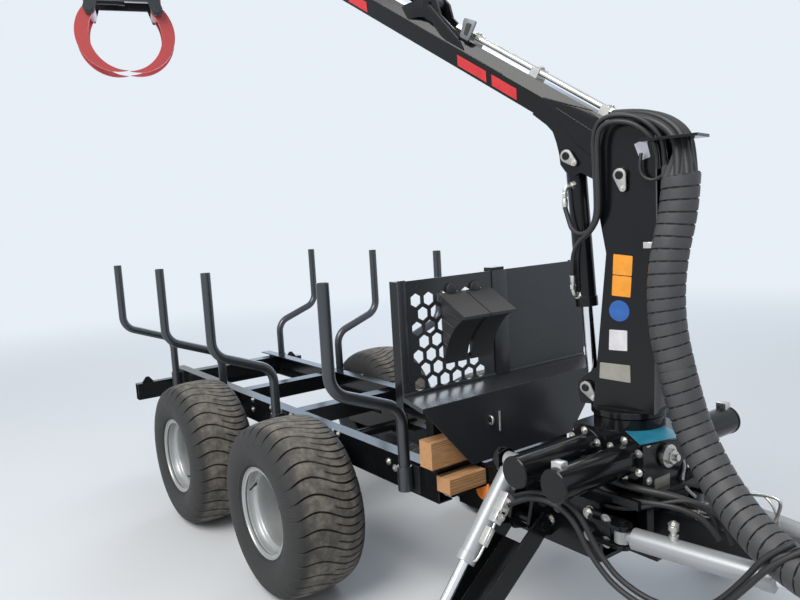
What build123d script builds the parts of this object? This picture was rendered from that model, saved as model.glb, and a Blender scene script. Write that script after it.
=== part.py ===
from build123d import *
import os
from math import cos, hypot, pi, radians, sin, tan

os.makedirs("parts", exist_ok=True)

# Millimetres. X points forward, Y to the left, Z up, and the floor is at Z = 0.
# A station is a distance forward of the bogies' centre.

# Reach of the trailer before and behind the bogies' centre
FRONT_REACH = 3000.0
REAR_REACH = 1544.0
BOGIE_X = (REAR_REACH - FRONT_REACH) / 2

# Wheels and bogies
WHEELBASE = 960.0
TRACK = 1118.0
TYRE_RADIUS = 350.0
TYRE_WIDTH = 310.0
BEAD_RADIUS = 166.0
RIM_WIDTH = 284.0
RIM_FLANGE_RADIUS = 181.0
RIM_WALL = 6.0
DISC_OFFSET = 60.0
HUB_RADIUS = 46.0
STUB_RADIUS = 25.0
BOGIE_PIVOT_Z = 385.0
BOGIE_PIVOT_RADIUS = 30.0
BOGIE_BEAM_INNER_Y = 346.0
BOGIE_BEAM_WIDTH = 46.0
BOGIE_BEAM_HEIGHT = 100.0

# Frame
RAIL_OUTER_Y = 330.0
RAIL_FLANGE = 60.0
RAIL_HEIGHT = 120.0
RAIL_WALL = 6.0
RAIL_TOP_Z = 600.0
RAIL_FRONT = 1140.0
REAR_BEAM_DEPTH = 50.0
REAR_BEAM_HEIGHT = 100.0
REAR_BEAM_HALF_LENGTH = 569.0
REAR_BEAM_Z = 478.0
BEAM_LUG_Y = 500.0
BEAM_LUG_HEIGHT = 34.0
CROSS_MEMBER_WIDTH = 80.0
NECK_MEMBER_WIDTH = 56.0
REAR_STAKE_INSET = 163.0
STAKE_STATIONS = (REAR_STAKE_INSET - REAR_REACH, -627.0, -11.0, 995.0)
STAKE_RADIUS = 21.2
STAKE_WALL = 3.0
STAKE_FOOT_Y = 363.0
STAKE_TOP_Y = 646.0
STAKE_TOP_Z = 1272.0

# Headboard
HEADBOARD_STATION = 1134.0
HEADBOARD_HALF_WIDTH = 450.0
HEADBOARD_TOP_Z = 1260.0
LEDGE_Z = 880.0
LEDGE_DEPTH = 100.0
SHEET = 4.0

# Honeycomb in the right panel: a hole's width across its flats, and the lowest row's first hole
HOLE_ACROSS = 41.0
HOLE_PITCH = 54.5
HOLE_ROWS = 7
HOLES_IN_ROW = 6
FIRST_HOLE = (-378.0, 910.0)

# Control box: two covers side by side under sloping lids
COVER_RIGHT_Y = -280.0
COVER_WIDTH = 115.0
COVER_SLIT = 5.0
LID_BACK_Z = 1205.0
LID_FRONT_Z = 1134.0
LID_REACH = 127.0
LID_THICKNESS = 10.0
LID_OVERHANG = 7.0
COVER_BOTTOM_Z = 962.0

# Timber blocks: rear station and height of the shelf, then the block's length, width and height
TIMBER_BLOCKS = ((1141.0, 634.0, 195.0, 64.0, 92.0), (1181.0, 551.0, 160.0, 68.0, 52.0))
TRAY_BOTTOM_Z = 530.0
TRAY_SHEET = 6.0

# Neck, drawbar and steering
NECK_HALF_WIDTH = 200.0
NECK_BOTTOM_Z = 440.0
NECK_HEIGHT = 180.0
NECK_WALL = 12.0
NECK_REAR = 1095.0
NECK_FRONT = 1720.0
STEER_STATION = 1766.0
STEER_PIN_RADIUS = 20.0
DRAWBAR_Z = 540.0
DRAWBAR_HEIGHT = 90.0
DRAWBAR_WIDTH = 100.0
EYE_RADIUS = 45.0
EYE_BORE_RADIUS = 20.0
EYE_THICKNESS = 30.0
HOLDER_PLATE = 12.0
BUNDLE_DIAMETER = 100.0
BUNDLE_CUT_Z = 1025.0
BUNDLE_CUT_GAP = 1.0
HEAD_HOSE_DIAMETER = 20.0
STEER_EYE = (1800.0, 200.0)
STEER_ROD_EYE = (2360.0, 110.0)
STEER_LUG_REACH = 26.0
STEER_CYLINDER_Z = 550.0
STEER_BARREL_RADIUS = 30.0
STEER_BARREL_LENGTH = 400.0
STEER_ROD_RADIUS = 15.0

# Support legs, in a plane across the trailer
LEG_STATION = 1485.0
LEG_PIVOT = (258.0, 517.0)
LEG_FOOT = (900.0, 30.0)
LEG_WIDTH = 140.0
LEG_DEPTH = 72.0
LEG_WALL = 6.0
LEG_CYLINDER_TOP = (304.0, 715.0)
LEG_ROD_EYE = (680.0, 275.0)
LEG_BARREL_RADIUS = 28.0
LEG_BARREL_LENGTH = 330.0
LEG_ROD_RADIUS = 15.0

# Crane, in an upright plane turned rearward and to the right
COLUMN_STATION = 1680.0
SLEW_AT_REST = 13.0
HOUSING_TOP_Z = 843.0
TURNTABLE_Z = 848.0
SLEW_TUBE_OFFSET = 72.0
SLEW_TUBE_RADIUS = 45.0
SLEW_TUBE_Z = 740.0
SLEW_TUBE_END_Y = 420.0
COLUMN_HALF_WIDTH = 70.0
COLUMN_PLATE = 10.0
COLUMN_FRONT_FOOT = (83.0, 864.0)
COLUMN_FRONT_TOP = (31.0, 1330.0)
COLUMN_BACK = -105.0
COLUMN_HEAD_Z = 1704.0
HOSE_SHELF_Z = 1632.0
BOOM_PIVOT = (-20.0, 1552.0)
BOOM_RISE = 33.0
BOOM_BOTTOM = 16.0
BOOM_WAIST = 72.0
BOOM_TOP = 108.0
BOOM_HALF_WIDTH = 50.0
BOOM_EDGE_HALF_WIDTH = 30.0
BOOM_WALL = 6.0
BOOM_TUBE_START = 70.0
BOOM_TUBE_END = 1690.0
KNEE = (1880.0, 62.0)
LIFT_TOP_PIN = (187.0, -38.0)
LIFT_FOOT_PIN = (115.0, 916.0)
LIFT_BARREL_RADIUS = 31.0
LIFT_BARREL_LENGTH = 460.0
LIFT_ROD_RADIUS = 18.0
FOLD_BASE_PIN = (918.0, 150.0)
FOLD_HORN_RADIUS = 164.7
FOLD_HORN_ANGLE = 133.0
FOLD_BARREL_RADIUS = 28.0
FOLD_BARREL_LENGTH = 520.0
FOLD_ROD_RADIUS = 15.0
OUTER_RISE = 17.8
OUTER_LENGTH = 1215.0
OUTER_HALF = 45.0
OUTER_WALL = 6.0
OUTER_TUBE_END = 140.0
EXTENSION_TUBE_END = 115.0
TIP_PLATE_REACH = 132.0

# Link, rotator and grapple, with their heights given from the outer boom's tip
LINK_DROP = 112.0
ROTATOR_RADIUS = 62.0
ROTATOR_TOP_Z = -165.0
ROTATOR_BOTTOM_Z = -264.0
GRAPPLE_TOP_Z = -294.0
GRAPPLE_TURN = 73.0
JAW_PIVOT = (160.0, -419.0)
JAW_EYE = (166.0, -349.0)
JAW_BELLY = (240.0, -554.0)
JAW_TIP_Z = -716.0
JAW_PLATE = 12.0

# Clearances
PIN_GAP = 0.5
SEAT_GAP = 0.3
EYE_NECK = 10.0
SIDE_GAP = 5.0

SIDES = {"right": -1, "left": 1}
AXLES = {"front": WHEELBASE / 2, "rear": -WHEELBASE / 2}


def save(builder, name):
    """Label a finished piece and write it under the same name."""
    builder.part.label = name
    export_step(builder.part, f"parts/{name}.step")


def at(plane, *point):
    """The place of a point that is given in a working plane."""
    return Locations(plane.location * Location(point))


def plate(plane, outline, start, end):
    """A flat plate of the given outline between two distances from a plane."""
    with BuildSketch(plane.offset(start)) as profile:
        Polygon(*outline, align=None)
    extrude(profile.sketch, amount=end - start, dir=plane.z_dir)


def plate_pair(plane, outline, inner, outer):
    """Two like plates, one on each side of a plane."""
    plate(plane, outline, inner, outer)
    plate(plane, outline, -outer, -inner)


def bend_radii(points):
    """Each corner's radius: 0.45 of its shorter run over the tangent of half its turn."""
    radii = []
    for before, corner, after in zip(points, points[1:], points[2:]):
        run_in = Vector(*corner) - Vector(*before)
        run_out = Vector(*after) - Vector(*corner)
        half_turn = radians(run_in.get_angle(run_out)) / 2
        radii.append(0.45 * min(run_in.length, run_out.length) / tan(half_turn))
    return radii


def hose(points, diameter, cut, kept):
    """A hose's tube along straight runs joined by tangent arcs, on one side of a cut."""
    radii = bend_radii(points)
    print("hose radii", [round(radius) for radius in radii])
    with BuildPart() as tube:
        with BuildLine() as route:
            FilletPolyline(*points, radius=radii)
        with BuildSketch(Plane(origin=points[0], z_dir=Vector(*points[1]) - Vector(*points[0]))):
            Circle(diameter / 2)
        sweep(path=route.wire())
        length = route.wire().length
        full = length * pi * diameter**2 / 4
        print("hose length", round(length), "volume ratio", round(tube.part.volume / full, 4))
        split(bisect_by=cut, keep=kept)
    return tube


def from_stations(points):
    """Points that are given by their station, moved into the part's frame."""
    return [(BOGIE_X + station, y, z) for station, y, z in points]


def cylinder_frame(plane, base, tip):
    """A working plane at one pin of a hydraulic cylinder, with X towards the other pin."""
    run = Vector(tip[0] - base[0], tip[1] - base[1])
    direction = plane.x_dir * (run.X / run.length) + plane.y_dir * (run.Y / run.length)
    return Plane(plane.from_local_coords((*base, 0)), x_dir=direction, z_dir=plane.z_dir), run.length


def barrel(frame, length, radius, rod_radius, eye_radius, eye_width, pin_radius):
    """A cylinder's barrel: a pin eye, then a tube bored for its rod."""
    across = Plane(frame.origin, z_dir=frame.x_dir)
    with BuildPart() as piece:
        with at(frame, 0, 0, 0):
            Cylinder(eye_radius, eye_width)
        with at(across, 0, 0, eye_radius * 0.6):
            Cylinder(eye_width / 2 - 1, length / 2, align=(Align.CENTER, Align.CENTER, Align.MIN))
        with at(across, 0, 0, eye_radius + EYE_NECK):
            Cylinder(radius, length - eye_radius - EYE_NECK, align=(Align.CENTER, Align.CENTER, Align.MIN))
        with at(across, 0, 0, length - 30):
            Cylinder(radius + 3, 30, align=(Align.CENTER, Align.CENTER, Align.MIN))
        with at(across, 0, 0, eye_radius + EYE_NECK + 8):
            Cylinder(rod_radius + PIN_GAP, length, align=(Align.CENTER, Align.CENTER, Align.MIN),
                     mode=Mode.SUBTRACT)
        with at(frame, 0, 0, 0):
            Cylinder(pin_radius + PIN_GAP, eye_width, mode=Mode.SUBTRACT)
    return piece


def rod(frame, start, length, radius, eye_radius, eye_width, pin_radius):
    """A cylinder's rod, from inside its barrel to the eye at its far pin."""
    across = Plane(frame.origin, z_dir=frame.x_dir)
    with BuildPart() as piece:
        with at(across, 0, 0, start):
            Cylinder(radius, length - start - eye_radius * 0.6,
                     align=(Align.CENTER, Align.CENTER, Align.MIN))
        with at(frame, length, 0, 0):
            Cylinder(eye_radius, eye_width)
            Cylinder(pin_radius + PIN_GAP, eye_width, mode=Mode.SUBTRACT)
    return piece


def side_plane(station, side):
    """The plane across the trailer at a station, with X outward on one side and Y up."""
    return Plane((BOGIE_X + station, 0, 0), x_dir=(0, side, 0), z_dir=(side, 0, 0))


# Wheels: each section is drawn as distance outward and radius, then turned about the axle
flange_half = RIM_WIDTH / 2
seat_half = flange_half - 14
for side_name, side in SIDES.items():
    for axle_name, axle in AXLES.items():
        centre = (BOGIE_X + axle, side * TRACK / 2, TYRE_RADIUS)
        wheel_plane = Plane(centre, x_dir=(0, side, 0), z_dir=(side, 0, 0))
        axle_line = Axis(centre, (0, side, 0))
        with BuildPart() as tyre:
            with BuildSketch(wheel_plane):
                with BuildLine():
                    Polyline((0, BEAD_RADIUS), (seat_half - 2, BEAD_RADIUS), (seat_half - 2, RIM_FLANGE_RADIUS + 3),
                             (seat_half + 10, RIM_FLANGE_RADIUS + 6))
                    ThreePointArc((seat_half + 10, RIM_FLANGE_RADIUS + 6), (TYRE_WIDTH / 2, 255),
                                  (TYRE_WIDTH / 2 - 9, 318))
                    ThreePointArc((TYRE_WIDTH / 2 - 9, 318), (80, TYRE_RADIUS - 7), (0, TYRE_RADIUS))
                    Line((0, TYRE_RADIUS), (0, BEAD_RADIUS))
                make_face()
                mirror(about=Plane.YZ)
            revolve(axis=axle_line)
        save(tyre, f"tyre_{axle_name}_{side_name}")

        barrel_radius = BEAD_RADIUS - 0.3
        with BuildPart() as rim:
            with BuildSketch(wheel_plane):
                with BuildLine():
                    Polyline((0, 145), (85, 145), (100, barrel_radius), (seat_half, barrel_radius),
                             (seat_half, RIM_FLANGE_RADIUS), (flange_half, RIM_FLANGE_RADIUS),
                             (flange_half, RIM_FLANGE_RADIUS - RIM_WALL),
                             (seat_half + RIM_WALL, RIM_FLANGE_RADIUS - RIM_WALL),
                             (seat_half + RIM_WALL, barrel_radius - RIM_WALL),
                             (103, barrel_radius - RIM_WALL), (88, 145 - RIM_WALL), (0, 145 - RIM_WALL), close=True)
                make_face()
                mirror(about=Plane.YZ)
            with BuildSketch(wheel_plane):
                with BuildLine():
                    Polyline((DISC_OFFSET, 145 - RIM_WALL), (DISC_OFFSET - 12, 110), (DISC_OFFSET + 18, 90),
                             (DISC_OFFSET + 18, 0), (DISC_OFFSET + 10, 0), (DISC_OFFSET + 10, 84),
                             (DISC_OFFSET - 20, 106), (DISC_OFFSET - 8, 145 - RIM_WALL), close=True)
                make_face()
            with BuildSketch(wheel_plane):
                with Locations((DISC_OFFSET - 38, HUB_RADIUS / 2)):
                    Rectangle(120, HUB_RADIUS)
            revolve(axis=axle_line)
            with Locations(Location((centre[0], side * (TRACK / 2 + 5), centre[2]), (90, 0, 0))):
                Cylinder(STUB_RADIUS + PIN_GAP, 100 + 2 * SIDE_GAP, mode=Mode.SUBTRACT)
        save(rim, f"rim_{axle_name}_{side_name}")

# Bogie beams, each with its two stub axles
for side_name, side in SIDES.items():
    beam_y = side * (BOGIE_BEAM_INNER_Y + BOGIE_BEAM_WIDTH / 2)
    beam_outer = BOGIE_BEAM_INNER_Y + BOGIE_BEAM_WIDTH
    stub_end = TRACK / 2 + 50
    with BuildPart() as bogie_beam:
        with Locations((BOGIE_X, beam_y, TYRE_RADIUS)):
            Box(WHEELBASE + BOGIE_BEAM_HEIGHT, BOGIE_BEAM_WIDTH, BOGIE_BEAM_HEIGHT)
        with Locations(Location((BOGIE_X, beam_y, BOGIE_PIVOT_Z), (90, 0, 0))):
            Cylinder(2 * BOGIE_PIVOT_RADIUS, BOGIE_BEAM_WIDTH)
            Cylinder(BOGIE_PIVOT_RADIUS + PIN_GAP, BOGIE_BEAM_WIDTH, mode=Mode.SUBTRACT)
        for axle in AXLES.values():
            with Locations(Location((BOGIE_X + axle, side * (beam_outer + stub_end) / 2, TYRE_RADIUS), (90, 0, 0))):
                Cylinder(STUB_RADIUS, stub_end - beam_outer)
    save(bogie_beam, f"bogie_beam_{side_name}")

# Cross axle that the bogies rock on, with its saddles under the rails
with BuildPart() as bogie_axle:
    with Locations(Location((BOGIE_X, 0, BOGIE_PIVOT_Z), (90, 0, 0))):
        Cylinder(BOGIE_PIVOT_RADIUS, 2 * (BOGIE_BEAM_INNER_Y + BOGIE_BEAM_WIDTH + 22))
    for side in SIDES.values():
        with Locations(Location((BOGIE_X, side * (BOGIE_BEAM_INNER_Y + BOGIE_BEAM_WIDTH + 14), BOGIE_PIVOT_Z),
                                (90, 0, 0))):
            Cylinder(BOGIE_PIVOT_RADIUS + 14, 16)
        with Locations((BOGIE_X, side * (RAIL_OUTER_Y - RAIL_FLANGE / 2), RAIL_TOP_Z - RAIL_HEIGHT)):
            Box(160, RAIL_FLANGE - 8, RAIL_TOP_Z - RAIL_HEIGHT - BOGIE_PIVOT_Z + 30,
                align=(Align.CENTER, Align.CENTER, Align.MAX))
save(bogie_axle, "bogie_axle")

# Frame: two channel rails with their open sides inward
rail_rear = REAR_BEAM_DEPTH - REAR_REACH
rail_bottom_z = RAIL_TOP_Z - RAIL_HEIGHT
rail_mid_z = RAIL_TOP_Z - RAIL_HEIGHT / 2
with BuildPart() as frame_rails:
    with BuildSketch(Plane.YZ.offset(BOGIE_X + rail_rear)):
        for side in SIDES.values():
            with Locations((side * (RAIL_OUTER_Y - RAIL_FLANGE / 2), rail_mid_z)):
                Rectangle(RAIL_FLANGE, RAIL_HEIGHT)
            with Locations((side * (RAIL_OUTER_Y - RAIL_WALL - RAIL_FLANGE / 2), rail_mid_z)):
                Rectangle(RAIL_FLANGE, RAIL_HEIGHT - 2 * RAIL_WALL, mode=Mode.SUBTRACT)
    extrude(amount=RAIL_FRONT - rail_rear)
save(frame_rails, "frame_rails")

# Cross members reach into both channels
web_inner_y = RAIL_OUTER_Y - RAIL_WALL
with BuildPart() as cross_members:
    for station in STAKE_STATIONS:
        with Locations((BOGIE_X + station, 0, rail_mid_z)):
            Box(CROSS_MEMBER_WIDTH, 2 * web_inner_y, CROSS_MEMBER_WIDTH)
    with Locations((BOGIE_X + NECK_REAR - NECK_MEMBER_WIDTH / 2, 0, rail_mid_z)):
        Box(NECK_MEMBER_WIDTH, 2 * web_inner_y, RAIL_HEIGHT - 2 * RAIL_WALL)
save(cross_members, "cross_members")

with BuildPart() as rear_beam:
    with BuildSketch(Plane.XZ.offset(-REAR_BEAM_HALF_LENGTH)):
        with Locations((BOGIE_X + rail_rear - REAR_BEAM_DEPTH / 2, REAR_BEAM_Z)):
            Rectangle(REAR_BEAM_DEPTH, REAR_BEAM_HEIGHT)
            Rectangle(REAR_BEAM_DEPTH - 8, REAR_BEAM_HEIGHT - 8, mode=Mode.SUBTRACT)
    extrude(amount=2 * REAR_BEAM_HALF_LENGTH)
    beam_top_z = REAR_BEAM_Z + REAR_BEAM_HEIGHT / 2
    for side in SIDES.values():
        lug_y = side * BEAM_LUG_Y
        plate(Plane.YZ.offset(BOGIE_X + rail_rear - REAR_BEAM_DEPTH / 2),
              [(lug_y - 36, beam_top_z), (lug_y + 36, beam_top_z), (lug_y + 9, beam_top_z + BEAM_LUG_HEIGHT),
               (lug_y - 9, beam_top_z + BEAM_LUG_HEIGHT)], -5, 5)
save(rear_beam, "rear_beam")

# Stakes: bent tubes in sockets on the rails' outer faces
for side_name, side in SIDES.items():
    with BuildPart() as stakes:
        for station in STAKE_STATIONS:
            plane = side_plane(station, side)
            with BuildLine(plane) as centre_line:
                FilletPolyline((STAKE_FOOT_Y, rail_bottom_z + 20), (STAKE_FOOT_Y, 800), (STAKE_TOP_Y, 905),
                               (STAKE_TOP_Y, STAKE_TOP_Z), radius=90)
            foot = (BOGIE_X + station, side * STAKE_FOOT_Y, rail_bottom_z + 20)
            with BuildSketch(Plane(foot)):
                Circle(STAKE_RADIUS)
            sweep(path=centre_line.wire())
            with Locations((foot[0], foot[1], rail_bottom_z + 20)):
                Cylinder(STAKE_RADIUS + 6, 90, align=(Align.CENTER, Align.CENTER, Align.MIN))
            with Locations((foot[0], side * (RAIL_OUTER_Y + 4), rail_mid_z)):
                Box(100, 8, 100)
            with Locations((foot[0], side * STAKE_TOP_Y, STAKE_TOP_Z)):
                Cylinder(STAKE_RADIUS - STAKE_WALL, 60, align=(Align.CENTER, Align.CENTER, Align.MAX),
                         mode=Mode.SUBTRACT)
    save(stakes, f"stakes_{side_name}")

# Headboard: a frame of posts and bars, two upper panels, and a folded lower fascia
board_x = BOGIE_X + HEADBOARD_STATION
neck_top_z = NECK_BOTTOM_Z + NECK_HEIGHT
with BuildPart() as headboard_frame:
    with Locations((board_x - 24, 0, neck_top_z)):
        Box(40, 60, HEADBOARD_TOP_Z + 10 - neck_top_z, align=(Align.CENTER, Align.CENTER, Align.MIN))
    with Locations((board_x - 24, 0, LEDGE_Z - 20)):
        Box(40, 2 * HEADBOARD_HALF_WIDTH, 40)
    with Locations((board_x - 24, 0, neck_top_z + 20)):
        Box(40, 2 * RAIL_OUTER_Y, 40)
    for side in SIDES.values():
        with Locations((board_x - 24, side * (RAIL_OUTER_Y - 25), RAIL_TOP_Z)):
            Box(40, 50, LEDGE_Z - RAIL_TOP_Z, align=(Align.CENTER, Align.CENTER, Align.MIN))
        with Locations((board_x - 24, side * (HEADBOARD_HALF_WIDTH - 15), LEDGE_Z)):
            Box(40, 30, HEADBOARD_TOP_Z - LEDGE_Z, align=(Align.CENTER, Align.CENTER, Align.MIN))
save(headboard_frame, "headboard_frame")

with BuildPart() as headboard_panels:
    for side in SIDES.values():
        with Locations((board_x - SHEET / 2, side * (HEADBOARD_HALF_WIDTH + 32) / 2, LEDGE_Z + 2)):
            Box(SHEET, HEADBOARD_HALF_WIDTH - 32, HEADBOARD_TOP_Z - LEDGE_Z - 2,
                align=(Align.CENTER, Align.CENTER, Align.MIN))
    with BuildSketch(Plane.YZ.offset(board_x)):
        for row in range(HOLE_ROWS):
            for column in range(HOLES_IN_ROW - row % 2):
                hole_y = FIRST_HOLE[0] + (column + row % 2 / 2) * HOLE_PITCH
                with Locations((hole_y, FIRST_HOLE[1] + row * HOLE_PITCH * cos(radians(30)))):
                    RegularPolygon(HOLE_ACROSS / 2, 6, major_radius=False, rotation=30)
    extrude(amount=-SHEET, mode=Mode.SUBTRACT)
save(headboard_panels, "headboard_panels")

with BuildPart() as headboard_fascia:
    with BuildSketch(Plane.XZ.offset(-HEADBOARD_HALF_WIDTH)):
        Polygon((board_x - 4, LEDGE_Z), (board_x - 4, LEDGE_Z - 16), (board_x + LEDGE_DEPTH, LEDGE_Z - 38),
                (board_x + LEDGE_DEPTH, LEDGE_Z - 22), align=None)
    extrude(amount=2 * HEADBOARD_HALF_WIDTH)
    with BuildSketch(Plane.YZ.offset(board_x + LEDGE_DEPTH - SHEET)):
        Polygon((-HEADBOARD_HALF_WIDTH, LEDGE_Z - 30), (HEADBOARD_HALF_WIDTH, LEDGE_Z - 30), (250, 625),
                (-250, 625), align=None)
    extrude(amount=SHEET)
save(headboard_fascia, "headboard_fascia")

with BuildPart() as control_box:
    for cover in range(2):
        cover_end = -COVER_RIGHT_Y - cover * (COVER_WIDTH + COVER_SLIT)
        plate(Plane.XZ, [(board_x, LID_BACK_Z), (board_x + LID_REACH, LID_FRONT_Z),
                         (board_x + LID_REACH, LID_FRONT_Z - LID_THICKNESS), (board_x, LID_BACK_Z - LID_THICKNESS)],
              cover_end - COVER_WIDTH, cover_end)
        with BuildSketch(Plane.XZ.offset(cover_end - COVER_WIDTH + LID_OVERHANG)) as cover_side:
            with BuildLine():
                Polyline((board_x + LID_REACH - LID_OVERHANG, LID_FRONT_Z - LID_THICKNESS / 2),
                         (board_x, LID_BACK_Z - LID_THICKNESS / 2), (board_x, COVER_BOTTOM_Z),
                         (board_x + LID_OVERHANG, COVER_BOTTOM_Z))
                ThreePointArc((board_x + LID_OVERHANG, COVER_BOTTOM_Z), (board_x + 38, 1052),
                              (board_x + LID_REACH - LID_OVERHANG, LID_FRONT_Z - LID_THICKNESS / 2))
            make_face()
        extrude(cover_side.sketch, amount=COVER_WIDTH - 2 * LID_OVERHANG, dir=(0, -1, 0))
save(control_box, "control_box")

# Two timber blocks on a tray that is welded to the neck's right side
with BuildPart() as block_tray:
    for shelf_rear, shelf_z, block_length, block_width, block_height in TIMBER_BLOCKS:
        with Locations((BOGIE_X + shelf_rear - 3, -NECK_HALF_WIDTH, shelf_z)):
            Box(block_width + 6, block_length, TRAY_SHEET, align=(Align.MIN, Align.MAX, Align.MAX))
        with Locations((BOGIE_X + shelf_rear - 3, -NECK_HALF_WIDTH, TRAY_BOTTOM_Z)):
            Box(block_width + 6, TRAY_SHEET, shelf_z + 6 - TRAY_BOTTOM_Z, align=(Align.MIN, Align.MAX, Align.MIN))
save(block_tray, "block_tray")

with BuildPart() as timber_blocks:
    for shelf_rear, shelf_z, block_length, block_width, block_height in TIMBER_BLOCKS:
        with Locations((BOGIE_X + shelf_rear, -NECK_HALF_WIDTH - TRAY_SHEET - SEAT_GAP, shelf_z + SEAT_GAP)):
            Box(block_width, block_length, block_height, align=(Align.MIN, Align.MAX, Align.MIN))
save(timber_blocks, "timber_blocks")

# Neck: a box of plate that carries the crane, the legs and the drawbar
steer_x = BOGIE_X + STEER_STATION
steer_eye_x = BOGIE_X + STEER_EYE[0]
with BuildPart() as neck:
    with BuildSketch(Plane.YZ.offset(BOGIE_X + NECK_REAR)):
        with Locations((0, NECK_BOTTOM_Z + NECK_HEIGHT / 2)):
            Rectangle(2 * NECK_HALF_WIDTH, NECK_HEIGHT)
            Rectangle(2 * (NECK_HALF_WIDTH - NECK_WALL), NECK_HEIGHT - 2 * NECK_WALL, mode=Mode.SUBTRACT)
    extrude(amount=NECK_FRONT - NECK_REAR)
    for z in (NECK_BOTTOM_Z + NECK_WALL, neck_top_z - NECK_WALL):
        with Locations((steer_x - 20, 0, z)):
            Box(160, 160, 2 * NECK_WALL)
    with Locations((steer_x, 0, neck_top_z - NECK_WALL)):
        Cylinder(STEER_PIN_RADIUS, NECK_HEIGHT, align=(Align.CENTER, Align.CENTER, Align.MAX))
    for side in SIDES.values():
        for z in (STEER_CYLINDER_Z - 28, STEER_CYLINDER_Z + 28):
            with Locations((steer_eye_x, side * STEER_EYE[1], z)):
                Box(STEER_EYE[0] + 20 - NECK_FRONT, 56, 12, align=(Align.MAX, Align.CENTER, Align.CENTER))
                Cylinder(28, 12)
        with Locations((steer_eye_x, side * STEER_EYE[1], STEER_CYLINDER_Z)):
            Cylinder(12, 84)
save(neck, "neck")

# Brackets for the legs and their cylinders, on the neck's sides
leg_bracket = [(NECK_HALF_WIDTH, 460), (278, 480), (294, 520), (270, 600), (335, 690), (335, 735),
               (285, 745), (NECK_HALF_WIDTH, 660)]
with BuildPart() as leg_brackets:
    for side in SIDES.values():
        plane = side_plane(LEG_STATION, side)
        plate_pair(plane, leg_bracket, 34, 46)
        with at(plane, *LEG_PIVOT, 0):
            Cylinder(15, LEG_WIDTH + 16)
        with at(plane, *LEG_CYLINDER_TOP, 0):
            Cylinder(12, 108)
save(leg_brackets, "leg_brackets")

# Support legs: channels that fold out sideways, with their cylinders inside
leg_run = hypot(LEG_FOOT[0] - LEG_PIVOT[0], LEG_FOOT[1] - LEG_PIVOT[1])
for side_name, side in SIDES.items():
    across = side_plane(LEG_STATION, side)
    leg_plane, leg_length = cylinder_frame(across, LEG_PIVOT, LEG_FOOT)
    half_depth = LEG_DEPTH / 2
    with BuildPart() as leg:
        plate_pair(leg_plane, [(-28, -30), (-28, 30), (60, half_depth), (leg_length, half_depth),
                               (leg_length, -half_depth), (60, -half_depth)],
                   LEG_WIDTH / 2 - LEG_WALL, LEG_WIDTH / 2)
        plate(leg_plane, [(70, -half_depth), (leg_length, -half_depth), (leg_length, LEG_WALL - half_depth),
                          (70, LEG_WALL - half_depth)], -LEG_WIDTH / 2, LEG_WIDTH / 2)
        with at(leg_plane, 0, 0, 0):
            Cylinder(15 + PIN_GAP, LEG_WIDTH + 20, mode=Mode.SUBTRACT)
        eye_local = leg_plane.to_local_coords(across.from_local_coords((*LEG_ROD_EYE, 0)))
        eye_x, eye_y = eye_local.X, eye_local.Y
        plate_pair(leg_plane, [(eye_x - 70, -half_depth + 2), (eye_x + 70, -half_depth + 2), (eye_x + 26, eye_y),
                               (eye_x + 12, eye_y + 24), (eye_x - 12, eye_y + 24), (eye_x - 26, eye_y)], 28, 38)
        for lug_side in (-1, 1):
            with at(leg_plane, eye_x, eye_y, lug_side * 43):
                Cylinder(14, 10)
        plate(across, [(LEG_FOOT[0] - 60, 0), (LEG_FOOT[0] + 50, 0), (LEG_FOOT[0] + 50, 12),
                       (LEG_FOOT[0] + 20, 50), (LEG_FOOT[0] - 35, 50), (LEG_FOOT[0] - 60, 12)], -90, 90)
    save(leg, f"leg_{side_name}")
    frame, length = cylinder_frame(across, LEG_CYLINDER_TOP, LEG_ROD_EYE)
    save(barrel(frame, LEG_BARREL_LENGTH, LEG_BARREL_RADIUS, LEG_ROD_RADIUS, 24, 50, 12),
         f"leg_barrel_{side_name}")
    save(rod(frame, 255, length, LEG_ROD_RADIUS, 20, 40, 12), f"leg_rod_{side_name}")

# Drawbar, turning on the neck's pin, with its eye
drawbar_front = BOGIE_X + FRONT_REACH - 2 * EYE_RADIUS - 20
with BuildPart() as drawbar:
    with Locations((steer_x, 0, NECK_BOTTOM_Z + NECK_HEIGHT / 2)):
        Cylinder(50, NECK_HEIGHT - 4 * NECK_WALL - 2 * SIDE_GAP)
    with Locations((steer_x + 30, 0, DRAWBAR_Z)):
        Box(drawbar_front - steer_x - 30, DRAWBAR_WIDTH, DRAWBAR_HEIGHT, align=(Align.MIN, Align.CENTER, Align.CENTER))
    with Locations((steer_x, 0, NECK_BOTTOM_Z + NECK_HEIGHT / 2)):
        Cylinder(STEER_PIN_RADIUS + PIN_GAP, NECK_HEIGHT, mode=Mode.SUBTRACT)
    for side in SIDES.values():
        for z in (STEER_CYLINDER_Z - 28, STEER_CYLINDER_Z + 28):
            with Locations((BOGIE_X + STEER_ROD_EYE[0], side * (STEER_ROD_EYE[1] + STEER_LUG_REACH), z)):
                Box(60, STEER_ROD_EYE[1] + STEER_LUG_REACH - DRAWBAR_WIDTH / 2 + 8, 12,
                    align=(Align.CENTER, Align.MAX if side > 0 else Align.MIN, Align.CENTER))
            boss_z = z + 9 if z > STEER_CYLINDER_Z else z - 9
            with Locations((BOGIE_X + STEER_ROD_EYE[0], side * STEER_ROD_EYE[1], boss_z)):
                Cylinder(14, 6)
save(drawbar, "drawbar")

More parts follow.
